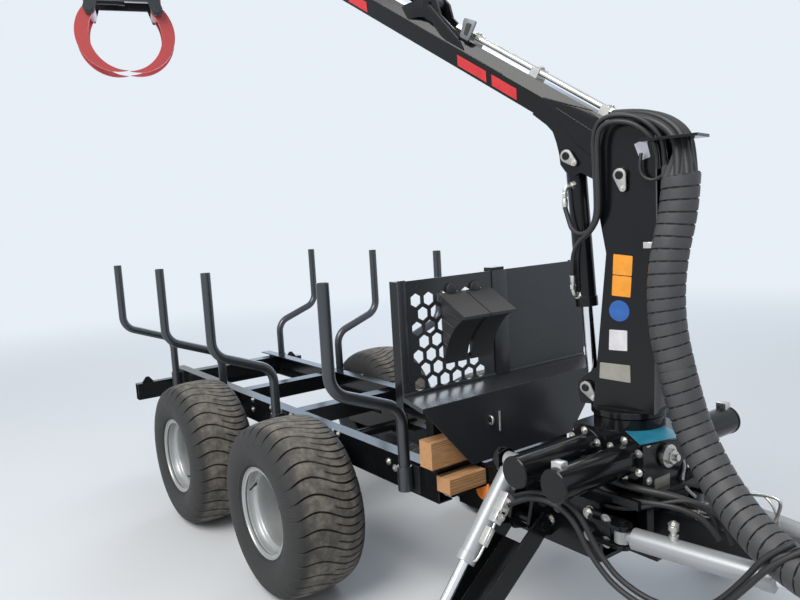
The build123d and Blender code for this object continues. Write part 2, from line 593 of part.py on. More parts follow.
eye_x = BOGIE_X + FRONT_REACH - EYE_RADIUS
with BuildPart() as drawbar_eye:
    with Locations((drawbar_front, 0, DRAWBAR_Z)):
        Box(20, DRAWBAR_WIDTH + 20, DRAWBAR_HEIGHT + 20, align=(Align.MIN, Align.CENTER, Align.CENTER))
        Box(EYE_RADIUS + 20, 50, EYE_THICKNESS, align=(Align.MIN, Align.CENTER, Align.CENTER))
    with Locations((eye_x, 0, DRAWBAR_Z)):
        Cylinder(EYE_RADIUS, EYE_THICKNESS)
        Cylinder(EYE_BORE_RADIUS, EYE_THICKNESS, mode=Mode.SUBTRACT)
save(drawbar_eye, "drawbar_eye")

# Steering cylinders, one on each side of the drawbar
for side_name, side in SIDES.items():
    flat = Plane((BOGIE_X, 0, STEER_CYLINDER_Z), x_dir=(1, 0, 0), z_dir=(0, 0, 1))
    base = (STEER_EYE[0], side * STEER_EYE[1])
    tip = (STEER_ROD_EYE[0], side * STEER_ROD_EYE[1])
    frame, length = cylinder_frame(flat, base, tip)
    save(barrel(frame, STEER_BARREL_LENGTH, STEER_BARREL_RADIUS, STEER_ROD_RADIUS, 24, 36, 12),
         f"steer_barrel_{side_name}")
    save(rod(frame, 200, length, STEER_ROD_RADIUS, 20, 34, 12), f"steer_rod_{side_name}")

# Slewing unit: a housing with two crossing pairs of tubes
column_x = BOGIE_X + COLUMN_STATION
with BuildPart() as slew_housing:
    with Locations((column_x, 0, neck_top_z)):
        Box(300, 340, 25, align=(Align.CENTER, Align.CENTER, Align.MIN))
        Box(250, 220, 190, align=(Align.CENTER, Align.CENTER, Align.MIN))
    with Locations((column_x, 0, neck_top_z + 190)):
        Cylinder(105, HOUSING_TOP_Z - neck_top_z - 190, align=(Align.CENTER, Align.CENTER, Align.MIN))
    with Locations((column_x, 0, HOUSING_TOP_Z)):
        Cylinder(80, TURNTABLE_Z - HOUSING_TOP_Z - 0.3, align=(Align.CENTER, Align.CENTER, Align.MIN))
save(slew_housing, "slew_housing")

with BuildPart() as slew_tubes:
    for side in SIDES.values():
        for shift in (-SLEW_TUBE_OFFSET, SLEW_TUBE_OFFSET):
            with Locations(Location((column_x + shift, side * (110 + SLEW_TUBE_END_Y) / 2, SLEW_TUBE_Z), (90, 0, 0))):
                Cylinder(SLEW_TUBE_RADIUS, SLEW_TUBE_END_Y - 110)
save(slew_tubes, "slew_tubes")

# Crane planes: one through the column, one along each boom
crane = Plane((column_x, 0, 0), x_dir=(-cos(radians(SLEW_AT_REST)), -sin(radians(SLEW_AT_REST)), 0),
              z_dir=(-sin(radians(SLEW_AT_REST)), cos(radians(SLEW_AT_REST)), 0))


def boom_plane(origin, rise):
    """A working plane along a boom: X along it, Y square to it in the crane's plane."""
    direction = crane.x_dir * cos(radians(rise)) + crane.y_dir * sin(radians(rise))
    return Plane(origin, x_dir=direction, z_dir=crane.z_dir)


def section_plane(plane, distance):
    """A plane square to a boom, with Y upward from the boom's line."""
    return Plane(plane.from_local_coords((distance, 0, 0)), x_dir=-plane.z_dir, z_dir=plane.x_dir)


inner = boom_plane(crane.from_local_coords((*BOOM_PIVOT, 0)), BOOM_RISE)
outer = boom_plane(inner.from_local_coords((*KNEE, 0)), OUTER_RISE)

column_outline = [(COLUMN_BACK, 862), (COLUMN_FRONT_FOOT[0], 862), COLUMN_FRONT_FOOT, COLUMN_FRONT_TOP, (50, 1440),
                  (56, 1600), (30, 1680), (-10, COLUMN_HEAD_Z), (-80, COLUMN_HEAD_Z), (-118, 1660), (-118, 1420)]
column_pocket = [(COLUMN_BACK + 10, 882), (COLUMN_FRONT_FOOT[0] - 11, 882), (COLUMN_FRONT_TOP[0] - 10, 1330),
                 (COLUMN_FRONT_TOP[0] - 4, 1380), (90, 1380), (90, 1740), (-150, 1740), (-150, 1430),
                 (COLUMN_BACK + 6, 1430)]
with BuildPart() as column:
    with Locations((column_x, 0, TURNTABLE_Z)):
        Cylinder(112, 18, align=(Align.CENTER, Align.CENTER, Align.MIN))
    plate(crane, column_outline, -COLUMN_HALF_WIDTH, COLUMN_HALF_WIDTH)
    with BuildSketch(crane):
        Polygon(*column_pocket, align=None)
    extrude(amount=COLUMN_HALF_WIDTH - COLUMN_PLATE, both=True, mode=Mode.SUBTRACT)
    with BuildSketch(crane):
        Polygon((50, 867), (120, 867), (120, 1100), (20, 1100), align=None)
    extrude(amount=26, both=True, mode=Mode.SUBTRACT)
    plate_pair(crane, [(60, 862), (140, 862), (148, 890), (148, 925), (130, 945), (60, 1000)], 26, 38)
    with at(crane, *BOOM_PIVOT, 0):
        Cylinder(22, 2 * COLUMN_HALF_WIDTH + 24)
    with at(crane, -258, HOSE_SHELF_Z, -104):
        Box(150, 8, 92, align=(Align.MIN, Align.MIN, Align.CENTER))
    for lug_side in (-1, 1):
        with at(crane, *LIFT_FOOT_PIN, lug_side * 43):
            Cylinder(15, 10)
save(column, "column")

# Inner boom: a six-sided tube, root plates, knee plates and the fold cylinder's bracket
boom_section = [(-BOOM_EDGE_HALF_WIDTH, BOOM_BOTTOM), (-BOOM_HALF_WIDTH, BOOM_WAIST),
                (-BOOM_EDGE_HALF_WIDTH, BOOM_TOP), (BOOM_EDGE_HALF_WIDTH, BOOM_TOP),
                (BOOM_HALF_WIDTH, BOOM_WAIST), (BOOM_EDGE_HALF_WIDTH, BOOM_BOTTOM)]
with BuildPart() as inner_boom:
    with BuildSketch(section_plane(inner, BOOM_TUBE_START)):
        Polygon(*boom_section, align=None)
    extrude(amount=BOOM_TUBE_END - BOOM_TUBE_START)
    with BuildSketch(section_plane(inner, BOOM_TUBE_START + 300)):
        Polygon(*boom_section, align=None)
        offset(amount=-BOOM_WALL, kind=Kind.INTERSECTION, mode=Mode.REPLACE)
    extrude(amount=BOOM_TUBE_END - BOOM_TUBE_START, mode=Mode.SUBTRACT)
    plate_pair(inner, [(-40, -30), (-10, -48), (60, -56), (125, -60), (140, -80), (170, -82), (196, -72), (215, -48),
                       (242, -22), (270, 0), (300, 8), (360, 14), (360, 72), (100, 100), (0, 48), (-34, 30)], 34, 46)
    with at(inner, 0, 0, 0):
        Cylinder(44, 2 * (COLUMN_HALF_WIDTH - COLUMN_PLATE - SIDE_GAP))
        Cylinder(22 + PIN_GAP, 2 * COLUMN_HALF_WIDTH, mode=Mode.SUBTRACT)
    with at(inner, *LIFT_TOP_PIN, 0):
        Cylinder(14, 100)
    plate_pair(inner, [(1540, 40), (1540, 100), (1700, 104), (1880, 104), (1915, 80), (1915, 44), (1880, 20),
                       (1700, 20)], 48, 60)
    with at(inner, *KNEE, 0):
        Cylinder(22, 140)
    plate_pair(inner, [(690, 104), (1020, 104), (985, 130), (950, 172), (918, 182), (885, 172), (850, 140),
                       (780, 122)], 30, 40)
    with at(inner, *FOLD_BASE_PIN, 0):
        Cylinder(13, 96)
save(inner_boom, "inner_boom")

# Pipes on the inner boom, in three clamps
with BuildPart() as boom_pipes:
    for lateral, radius in ((-16, 9), (4, 6), (18, 6)):
        with Locations(Location(inner.from_local_coords((430, 128, lateral)), inner.location.orientation)):
            Cylinder(radius, 630, rotation=(0, 90, 0))
    for distance in (160, 430, 700):
        with at(inner, distance, (BOOM_TOP + 136) / 2, 0):
            Box(30, 136 - BOOM_TOP, 56)
save(boom_pipes, "boom_pipes")

# Lift cylinder, between the inner boom and the column's foot
lift_base = crane.to_local_coords(inner.from_local_coords((*LIFT_TOP_PIN, 0)))
frame, length = cylinder_frame(crane, (lift_base.X, lift_base.Y), LIFT_FOOT_PIN)
save(barrel(frame, LIFT_BARREL_LENGTH, LIFT_BARREL_RADIUS, LIFT_ROD_RADIUS, 28, 50, 14), "lift_barrel")
save(rod(frame, 250, length, LIFT_ROD_RADIUS, 22, 40, 14), "lift_rod")

# Outer boom with its horn, and the extension inside it
horn = (FOLD_HORN_RADIUS * cos(radians(FOLD_HORN_ANGLE + BOOM_RISE - OUTER_RISE)),
        FOLD_HORN_RADIUS * sin(radians(FOLD_HORN_ANGLE + BOOM_RISE - OUTER_RISE)))
with BuildPart() as outer_boom:
    with BuildSketch(section_plane(outer, 80)):
        Rectangle(2 * OUTER_HALF, 2 * OUTER_HALF)
    extrude(amount=OUTER_LENGTH - OUTER_TUBE_END - 80)
    plate_pair(outer, [(-38, -20), (-10, -42), (120, -42), (260, 0), (260, 42), (120, 42), (horn[0] + 30, horn[1] + 14),
                       (horn[0] + 8, horn[1] + 26), (horn[0] - 22, horn[1] + 14), (horn[0] - 22, horn[1] - 16)], 30, 42)
    with BuildSketch(section_plane(outer, 110)):
        Rectangle(2 * (OUTER_HALF - OUTER_WALL), 2 * (OUTER_HALF - OUTER_WALL))
    extrude(amount=OUTER_LENGTH, mode=Mode.SUBTRACT)
    with at(outer, 0, 0, 0):
        Cylinder(44, 84)
        Cylinder(22 + PIN_GAP, 100, mode=Mode.SUBTRACT)
    for lug_side in (-1, 1):
        with at(outer, *horn, lug_side * 46):
            Cylinder(14, 8)
save(outer_boom, "outer_boom")

tip_end = OUTER_LENGTH
extension_half = OUTER_HALF - OUTER_WALL - SEAT_GAP
with BuildPart() as extension:
    with BuildSketch(section_plane(outer, 160)):
        Rectangle(2 * extension_half, 2 * extension_half)
        Rectangle(2 * (extension_half - 5), 2 * (extension_half - 5), mode=Mode.SUBTRACT)
    extrude(amount=tip_end - EXTENSION_TUBE_END - 160)
    plate_pair(outer, [(tip_end - TIP_PLATE_REACH, -30), (tip_end - TIP_PLATE_REACH, 30), (tip_end, 26),
                       (tip_end + 26, 10), (tip_end + 26, -10), (tip_end, -26)], 32, 42)
    with at(outer, tip_end, 0, 0):
        Cylinder(14, 100)
save(extension, "extension")

# Fold cylinder, between the bracket on the inner boom and the outer boom's horn
horn_inner = inner.to_local_coords(outer.from_local_coords((*horn, 0)))
frame, length = cylinder_frame(inner, FOLD_BASE_PIN, (horn_inner.X, horn_inner.Y))
print("fold cylinder", round(length, 1), "horn", horn_inner)
save(barrel(frame, FOLD_BARREL_LENGTH, FOLD_BARREL_RADIUS, FOLD_ROD_RADIUS, 26, 50, 13), "fold_barrel")
save(rod(frame, 180, length, FOLD_ROD_RADIUS, 22, 40, 13), "fold_rod")

# Link, rotator and grapple hang upright from the tip
tip = crane.to_local_coords(outer.from_local_coords((tip_end, 0, 0)))
print("tip", tip)
hang = Plane(crane.from_local_coords((tip.X, tip.Y, 0)), x_dir=crane.x_dir, z_dir=crane.z_dir)
sway = Plane(hang.origin, x_dir=-crane.z_dir, z_dir=crane.x_dir)
sway_z = -LINK_DROP
with BuildPart() as tip_link:
    with at(hang, 0, 0, 0):
        Cylinder(26, 54)
    with at(hang, 0, -LINK_DROP / 2, 0):
        Box(36, LINK_DROP - 30, 44)
    with at(sway, 0, sway_z, 0):
        Cylinder(26, 50)
        Cylinder(13 + PIN_GAP, 60, mode=Mode.SUBTRACT)
    with at(hang, 0, 0, 0):
        Cylinder(14 + PIN_GAP, 60, mode=Mode.SUBTRACT)
save(tip_link, "tip_link")

spin = Plane(hang.origin)
with BuildPart() as rotator:
    with at(spin, 0, 0, (ROTATOR_TOP_Z + ROTATOR_BOTTOM_Z) / 2):
        Cylinder(ROTATOR_RADIUS, ROTATOR_TOP_Z - ROTATOR_BOTTOM_Z)
    plate_pair(sway, [(-30, ROTATOR_TOP_Z - 5), (30, ROTATOR_TOP_Z - 5), (26, sway_z + 10), (12, sway_z + 26),
                      (-12, sway_z + 26), (-26, sway_z + 10)], 30, 42)
    with at(sway, 0, sway_z, 0):
        Cylinder(13, 96)
    with at(spin, 0, 0, (ROTATOR_BOTTOM_Z + GRAPPLE_TOP_Z) / 2 + 0.15):
        Cylinder(40, ROTATOR_BOTTOM_Z - GRAPPLE_TOP_Z - 0.3)
save(rotator, "rotator")

turn = radians(GRAPPLE_TURN)
grip = Plane(spin.origin, x_dir=(cos(turn), sin(turn), 0), z_dir=(sin(turn), -cos(turn), 0))
with BuildPart() as grapple_head:
    with at(spin, 0, 0, GRAPPLE_TOP_Z - 8):
        Cylinder(70, 16)
    with at(grip, 0, GRAPPLE_TOP_Z - 14, 0):
        Box(300, 12, 192)
    plate_pair(grip, [(-150, GRAPPLE_TOP_Z - 8), (150, GRAPPLE_TOP_Z - 8), (190, JAW_PIVOT[1] + 10),
                      (178, JAW_PIVOT[1] - 26), (142, JAW_PIVOT[1] - 26), (120, -379), (-120, -379),
                      (-142, JAW_PIVOT[1] - 26), (-178, JAW_PIVOT[1] - 26), (-190, JAW_PIVOT[1] + 10)], 86, 96)
    for jaw_side in (-1, 1):
        with at(grip, jaw_side * JAW_PIVOT[0], JAW_PIVOT[1], 0):
            Cylinder(16, 200)
save(grapple_head, "grapple_head")

# Jaws: two crescent plates each, one jaw's plates inside the other's
for name, jaw_side, inner_face in (("jaw_right", -1, 68), ("jaw_left", 1, 50)):
    with BuildPart() as jaw:
        for start in (inner_face, -inner_face - JAW_PLATE):
            with BuildSketch(grip.offset(start)) as profile:
                with BuildLine():
                    ThreePointArc((jaw_side * 185, -399), (jaw_side * JAW_BELLY[0], JAW_BELLY[1]),
                                  (jaw_side * 3, JAW_TIP_Z))
                    ThreePointArc((jaw_side * 3, JAW_TIP_Z), (jaw_side * 175, -559), (jaw_side * 135, -424))
                    Line((jaw_side * 135, -424), (jaw_side * 146, -334))
                    Line((jaw_side * 146, -334), (jaw_side * 186, -334))
                    Line((jaw_side * 186, -334), (jaw_side * 185, -399))
                make_face()
            extrude(amount=JAW_PLATE, dir=grip.z_dir)
        with at(grip, jaw_side * JAW_PIVOT[0], JAW_PIVOT[1], 0):
            Cylinder(28, 2 * (inner_face + JAW_PLATE))
            Cylinder(16 + PIN_GAP, 240, mode=Mode.SUBTRACT)
        with at(grip, jaw_side * 203, -569, 0):
            Cylinder(14, 2 * inner_face + JAW_PLATE)
        if jaw_side < 0:
            with at(grip, -JAW_EYE[0], JAW_EYE[1], 0):
                Cylinder(10, 2 * inner_face + JAW_PLATE)
    save(jaw, name)

# Grapple cylinder, pinned to the right jaw
frame, length = cylinder_frame(grip, (-JAW_EYE[0], JAW_EYE[1]), JAW_EYE)
save(barrel(frame, 175, 25, 12, 20, 36, 10), "grapple_barrel")
save(rod(frame, 156, length, 12, 18, 32, 10), "grapple_rod")

# The main hose bundle: its upper part turns with the column, its lower part with the drawbar
bundle_route = from_stations([(1893, -44, HOSE_SHELF_Z), (1893, -44, 1480), (1868, -78, 1310),
                              (1871, -92, 1150), (1908, -88, 985), (1952, -87, 846), (2052, -110, 714),
                              (2196, -165, 632), (2362, -214, 606), (2524, -222, 620), (2668, -205, 702),
                              (2764, -180, 842), (2790, -160, 1000)])
for name, kept, shift in (("upper", Keep.TOP, BUNDLE_CUT_GAP / 2), ("lower", Keep.BOTTOM, -BUNDLE_CUT_GAP / 2)):
    piece = hose(bundle_route, BUNDLE_DIAMETER, Plane.XY.offset(BUNDLE_CUT_Z + shift), kept)
    save(piece, f"hose_bundle_{name}")

# Holder on the drawbar, square to the bundle's parked end
parked_end = Vector(*bundle_route[-1])
holder_plane = Plane(parked_end, x_dir=(0, 1, 0), z_dir=parked_end - Vector(*bundle_route[-2]))
with BuildPart() as hose_holder:
    with at(holder_plane, 60, 0, HOLDER_PLATE / 2):
        Box(260, 120, HOLDER_PLATE)
    with Locations((parked_end.X, 0, DRAWBAR_Z + DRAWBAR_HEIGHT / 2)):
        Box(40, 40, parked_end.Z - DRAWBAR_Z - DRAWBAR_HEIGHT / 2 + 10,
            align=(Align.CENTER, Align.CENTER, Align.MIN))
save(hose_holder, "hose_holder")


def around_pivot(radius, angle):
    """A point beside the boom's pivot, by its distance and its rise from the boom's side."""
    return BOOM_PIVOT[0] + radius * cos(radians(angle)), BOOM_PIVOT[1] + radius * sin(radians(angle))


# Hoses from the bundle's top, over the column's head, to the pipes on the boom
with BuildPart() as head_hoses:
    for start_side, end_side in ((-118, -42), (-96, -18), (-74, 6), (-53, 29)):
        stops = ((198.6, 151.8, 0), (207, 131, 0.2), (207, 108, 0.6), (198, 86, 1))
        route = []
        for radius, angle, share in stops:
            lateral = start_side + share * (end_side - start_side)
            route.append(crane.from_local_coords((*around_pivot(radius, angle), lateral)))
        with BuildLine() as centre_line:
            FilletPolyline(*route, radius=bend_radii([tuple(point) for point in route]))
        with BuildSketch(Plane(origin=route[0], z_dir=route[1] - route[0])):
            Circle(HEAD_HOSE_DIAMETER / 2)
        sweep(path=centre_line.wire())
save(head_hoses, "head_hoses")
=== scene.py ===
# %% [markdown]
# # A forestry crane trailer
#
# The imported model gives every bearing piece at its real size. This lesson dresses it: it gives each piece its
# paint, rubber or metal, and it models what a workshop would bolt, clamp or thread on last, such as tread lugs,
# hoses, fittings, plates and screws. Lengths are in metres, X points forward, Y to the left and Z up.

# %% Load the frame
from math import atan2, ceil, cos, pi, radians, sin, tau

import bpy
from mathutils import Matrix, Vector


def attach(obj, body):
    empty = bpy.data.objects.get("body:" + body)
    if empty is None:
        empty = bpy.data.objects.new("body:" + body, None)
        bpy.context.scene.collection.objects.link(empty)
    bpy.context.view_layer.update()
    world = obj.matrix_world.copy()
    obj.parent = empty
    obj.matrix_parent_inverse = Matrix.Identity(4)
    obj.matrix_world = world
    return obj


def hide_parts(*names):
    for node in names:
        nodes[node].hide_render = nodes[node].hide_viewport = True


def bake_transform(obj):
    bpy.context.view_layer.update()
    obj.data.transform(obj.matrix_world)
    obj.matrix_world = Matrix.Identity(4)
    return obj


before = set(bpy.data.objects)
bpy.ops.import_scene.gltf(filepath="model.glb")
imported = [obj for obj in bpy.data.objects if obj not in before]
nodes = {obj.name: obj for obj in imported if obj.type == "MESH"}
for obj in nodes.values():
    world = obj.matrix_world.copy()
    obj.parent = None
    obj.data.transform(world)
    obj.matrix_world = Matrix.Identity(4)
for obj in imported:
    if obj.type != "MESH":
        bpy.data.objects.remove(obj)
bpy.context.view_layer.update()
print("loaded", len(nodes), "nodes")

# %% [markdown]
# ## Where things are
#
# A station is a distance forward of the bogies' centre. The model's origin lies under the middle of the trailer, so
# stations are shifted once, here. The crane stands turned a little to the right, and its booms lie in one upright
# plane. A small function gives a point in that plane a place in the model.

# %% Stations and the crane's plane
BOGIE_X = -0.728
SLEW = radians(13)
COLUMN_X = BOGIE_X + 1.680
CRANE_OUT = Vector((-cos(SLEW), -sin(SLEW), 0))
CRANE_LEFT = Vector((-sin(SLEW), cos(SLEW), 0))
UP = Vector((0, 0, 1))
FORWARD = Vector((1, 0, 0))
LEFTWARD = Vector((0, 1, 0))
SIDES = (("right", -1), ("left", 1))
BOOM_PIVOT = (-0.020, 1.552)
BOOM_RISE = radians(33)


def crane(reach, height, left=0.0):
    """A point by its reach from the column, its height and its distance to the left of the crane's plane."""
    return Vector((COLUMN_X, 0, 0)) + CRANE_OUT * reach + UP * height + CRANE_LEFT * left


def along_boom(distance, above, left=0.0):
    """A point by its distance along the inner boom from the pivot and its distance above that line."""
    reach = BOOM_PIVOT[0] + distance * cos(BOOM_RISE) - above * sin(BOOM_RISE)
    height = BOOM_PIVOT[1] + distance * sin(BOOM_RISE) + above * cos(BOOM_RISE)
    return crane(reach, height, left)


BOOM_ALONG = (CRANE_OUT * cos(BOOM_RISE) + UP * sin(BOOM_RISE)).normalized()
BOOM_UP = (UP * cos(BOOM_RISE) - CRANE_OUT * sin(BOOM_RISE)).normalized()

# %% [markdown]
# ## The camera
#
# The camera stands where the photographer stood: ahead of the trailer's right side, at head height. Its place,
# direction and focal length come from fitting the wheels, stakes and column to the picture.

# %% Camera
CAMERA_PLACE = Vector((2.297, -1.809, 1.478))
CAMERA_YAW = 2.516
CAMERA_PITCH = -0.124
CAMERA_ROLL = -0.057
FOCAL_PIXELS = 725.76
IMAGE_WIDTH = 800
CENTRE_BELOW_MIDDLE = 4.56

look = Vector((cos(CAMERA_YAW) * cos(CAMERA_PITCH), sin(CAMERA_YAW) * cos(CAMERA_PITCH), sin(CAMERA_PITCH)))
level_right = Vector((sin(CAMERA_YAW), -cos(CAMERA_YAW), 0))
level_up = level_right.cross(look)
camera_right = level_right * cos(CAMERA_ROLL) + level_up * sin(CAMERA_ROLL)
camera_up = level_up * cos(CAMERA_ROLL) - level_right * sin(CAMERA_ROLL)
camera_data = bpy.data.cameras.new("camera")
camera_data.sensor_width = 36
camera_data.lens = FOCAL_PIXELS * camera_data.sensor_width / IMAGE_WIDTH
camera_data.shift_y = CENTRE_BELOW_MIDDLE / IMAGE_WIDTH
camera = bpy.data.objects.new("camera", camera_data)
scene = bpy.context.scene
scene.collection.objects.link(camera)
turn = Matrix((camera_right, camera_up, -look)).transposed().to_4x4()
camera.matrix_world = Matrix.Translation(CAMERA_PLACE) @ turn
scene.camera = camera

# %% [markdown]
# ## Light
#
# The trailer stands outdoors under a bright, clouded sky. A pale world lights it from all round, and one broad lamp
# stands for the brighter part of the sky and gives soft shadows. A weaker one lights the far side, and a large low
# panel behind gives black paint the blue that it mirrors at a glancing look.

# %% Light
scene.view_settings.view_transform = "Standard"
SKY_COLOUR = (0.80, 0.86, 0.93, 1)
SKY_LIGHT = 0.62
SKY_SEEN = 1.0
world = bpy.data.worlds.new("sky")
scene.world = world
world.use_nodes = True
sky_nodes = world.node_tree.nodes
sky_links = world.node_tree.links
background = sky_nodes["Background"]
background.inputs["Color"].default_value = SKY_COLOUR
path = sky_nodes.new("ShaderNodeLightPath")
seen = sky_nodes.new("ShaderNodeMath")
seen.operation = "MAXIMUM"
seen_or_clear = sky_nodes.new("ShaderNodeMath")
seen_or_clear.operation = "MAXIMUM"
strength = sky_nodes.new("ShaderNodeMapRange")
strength.inputs["To Min"].default_value = SKY_LIGHT
strength.inputs["To Max"].default_value = SKY_SEEN
sky_links.new(path.outputs["Is Camera Ray"], seen.inputs[0])
sky_links.new(path.outputs["Is Glossy Ray"], seen.inputs[1])
sky_links.new(seen.outputs[0], seen_or_clear.inputs[0])
sky_links.new(path.outputs["Is Transmission Ray"], seen_or_clear.inputs[1])
sky_links.new(seen_or_clear.outputs[0], strength.inputs["Value"])
sky_links.new(strength.outputs["Result"], background.inputs["Strength"])


def lamp(name, place, aim, size, watts, colour):
    """A square soft lamp that faces a point."""
    data = bpy.data.lights.new(name, "AREA")
    data.size = size
    data.energy = watts
    data.color = colour
    thing = bpy.data.objects.new(name, data)
    scene.collection.objects.link(thing)
    thing.location = place
    thing.rotation_euler = (Vector(aim) - Vector(place)).to_track_quat("-Z", "Y").to_euler()
    thing.visible_camera = False
    return thing


# Each lamp: name, place, the point it faces, size, watts, colour
LAMPS = (
    ("sky_lamp", (1.5, -5.5, 7.0), (0, 0, 0.8), 5.0, 620, (1.0, 0.98, 0.95)),
    ("far_lamp", (-5.0, 4.5, 5.5), (0, 0, 1.0), 4.0, 150, (0.86, 0.93, 1.0)),
    ("blue_sky", (-8.5, 7.0, 3.6), (0, 0, 0.9), 8.0, 170, (0.45, 0.68, 1.0)),
)
for settings in LAMPS:
    lamp(*settings)

# %% [markdown]
# ## Shader maths as Python
#
# A finish changes over a surface: dust lies on what faces up, paint thins at edges, rubber bleaches on the tread.
# Such masks are arithmetic, so one small class wraps a socket and lets Python's own signs add the Math nodes. A
# finish is built with one method that adds any node, so each material below reads as a short recipe.

# %% Sockets as numbers


class Amount:
    """A value that varies over a surface; each sign used on it adds a Math node."""

    def __init__(self, finish, socket):
        self.finish = finish
        self.socket = socket

    def maths(self, operation, *terms):
        values = dict(enumerate(terms))
        return self.finish.add("Math", {"operation": operation}, values)

    def __add__(self, other):
        return self.maths("ADD", self, other)

    def __rsub__(self, other):
        return self.maths("SUBTRACT", other, self)

    def __mul__(self, other):
        return self.maths("MULTIPLY", self, other)

    def __pow__(self, other):
        return self.maths("POWER", self, other)

    __radd__ = __add__
    __rmul__ = __mul__

    def larger(self, other):
        """The larger of two values."""
        return self.maths("MAXIMUM", self, other)

    def wave(self):
        """The sine of this value, from -1 to 1."""
        return self.maths("SINE", self)

    def between(self, low, high):
        """A soft step: 0 at the low value, 1 at the high one."""
        ends = {"Value": self, "From Min": low, "From Max": high}
        return self.finish.add("MapRange", {"interpolation_type": "SMOOTHSTEP"}, ends)


def socket_name(key):
    """A shader socket's name from a Python name."""
    return key.replace("_", " ").title().replace("Ior", "IOR")


class Finish:
    """One material: a Principled shader and the nodes that feed it."""

    def __init__(self, name, **settings):
        self.material = bpy.data.materials.new(name)
        self.material.use_nodes = True
        self.tree = self.material.node_tree
        self.shader = self.tree.nodes["Principled BSDF"]
        self.place = self.add("TexCoord", output="Object")
        for socket, value in settings.items():
            self.shader.inputs[socket_name(socket)].default_value = value

    def add(self, kind, settings=None, inputs=None, output=0):
        """Add a node, set it, feed it, and give one of its outputs."""
        node = self.tree.nodes.new("ShaderNode" + kind)
        for key, value in (settings or {}).items():
            setattr(node, key, value)
        for key, value in (inputs or {}).items():
            if isinstance(value, Amount):
                self.tree.links.new(value.socket, node.inputs[key])
            else:
                node.inputs[key].default_value = value
        return Amount(self, node.outputs[output])

    def noise(self, scale, detail=2.0, stretch=(1, 1, 1), roughness=0.5):
        """Noise from 0 to 1, with its scale in waves for each metre."""
        vector = self.place
        if stretch != (1, 1, 1):
            vector = self.add("Mapping", None, {"Vector": self.place, "Scale": stretch})
        inputs = {"Vector": vector, "Scale": scale, "Detail": detail, "Roughness": roughness}
        return self.add("TexNoise", None, inputs)

    def mix(self, share, first, second):
        """A colour between two others."""
        return self.add("Mix", {"data_type": "RGBA"}, {0: share, 6: first, 7: second}, output=2)

    def angle(self, rise, run):
        """The angle of a direction, from its two parts."""
        return self.add("Math", {"operation": "ARCTAN2"}, {0: rise, 1: run})

    def parts(self, vector):
        """The three parts of a vector as values."""
        node = self.tree.nodes.new("ShaderNodeSeparateXYZ")
        self.tree.links.new(vector.socket, node.inputs[0])
        return [Amount(self, output) for output in node.outputs]

    def facing_up(self):
        """1 on what faces the sky, 0 on walls and undersides."""
        normal = self.add("NewGeometry", output="Normal")
        height = self.add("SeparateXYZ", None, {"Vector": normal}, output="Z")
        return height.between(0.35, 0.95)

    def feed(self, **sockets):
        """Link values to the shader's sockets."""
        for socket, value in sockets.items():
            self.tree.links.new(value.socket, self.shader.inputs[socket_name(socket)])

    def relief(self, height, distance, edge=0.0):
        """Bump of a real height in metres, on edges that are rounded by a small radius."""
        inputs = {"Height": height, "Distance": distance, "Strength": 1.0}
        if edge:
            inputs["Normal"] = self.add("Bevel", {"samples": 4}, {"Radius": edge})
        self.feed(Normal=self.add("Bump", None, inputs))


def rgb(red, green, blue):
    """An opaque colour."""
    return (red, green, blue, 1)


# %% [markdown]
# ## Floor
#
# The floor is plain and pale. Far from the trailer it fades into the background's colour, so that no horizon cuts
# the picture. Only rays from the camera and from mirrors see that fade: it adds no light to the trailer.

# %% Floor
FLOOR_SIZE = 400
FADE = (3.5, 11.0)
FLOOR_COLOUR = rgb(0.66, 0.67, 0.68)


def studio_floor():
    """A matt floor that turns into the background with distance."""
    finish = Finish("studio_floor", base_color=FLOOR_COLOUR, roughness=0.85)
    along, across, height = finish.parts(finish.place)
    distance = (along ** 2 + across ** 2) ** 0.5
    seen, mirrored_ray, clear = [finish.add("LightPath", output=f"Is {ray} Ray")
                                 for ray in ("Camera", "Glossy", "Transmission")]
    share = distance.between(*FADE) * seen.larger(mirrored_ray).larger(clear)
    nodes_here = finish.tree.nodes
    links_here = finish.tree.links
    haze = nodes_here.new("ShaderNodeEmission")
    haze.inputs["Color"].default_value = SKY_COLOUR
    blend = nodes_here.new("ShaderNodeMixShader")
    links_here.new(share.socket, blend.inputs[0])
    links_here.new(finish.shader.outputs[0], blend.inputs[1])
    links_here.new(haze.outputs[0], blend.inputs[2])
    links_here.new(blend.outputs[0], nodes_here["Material Output"].inputs["Surface"])
    return finish.material


bpy.ops.mesh.primitive_plane_add(size=FLOOR_SIZE, location=(0, 0, 0))
floor = bpy.context.object
floor.name = "floor"
floor.data.materials.append(studio_floor())

# %% [markdown]
# ## Paint
#
# The frame and crane are sprayed in glossy black, the headboard and stakes in a softer anthracite, the cylinders
# and rims in silver grey. All sprayed coats share their faults: a faint orange peel, dust on top, and a little wear
# at the edges, where the Bevel node's rounded normal differs from the flat one. So one recipe makes them all.

# %% Sprayed coats
DUST = rgb(0.135, 0.120, 0.098)
EDGE_ROUND = 0.0018
PEEL_HEIGHT = 0.00006


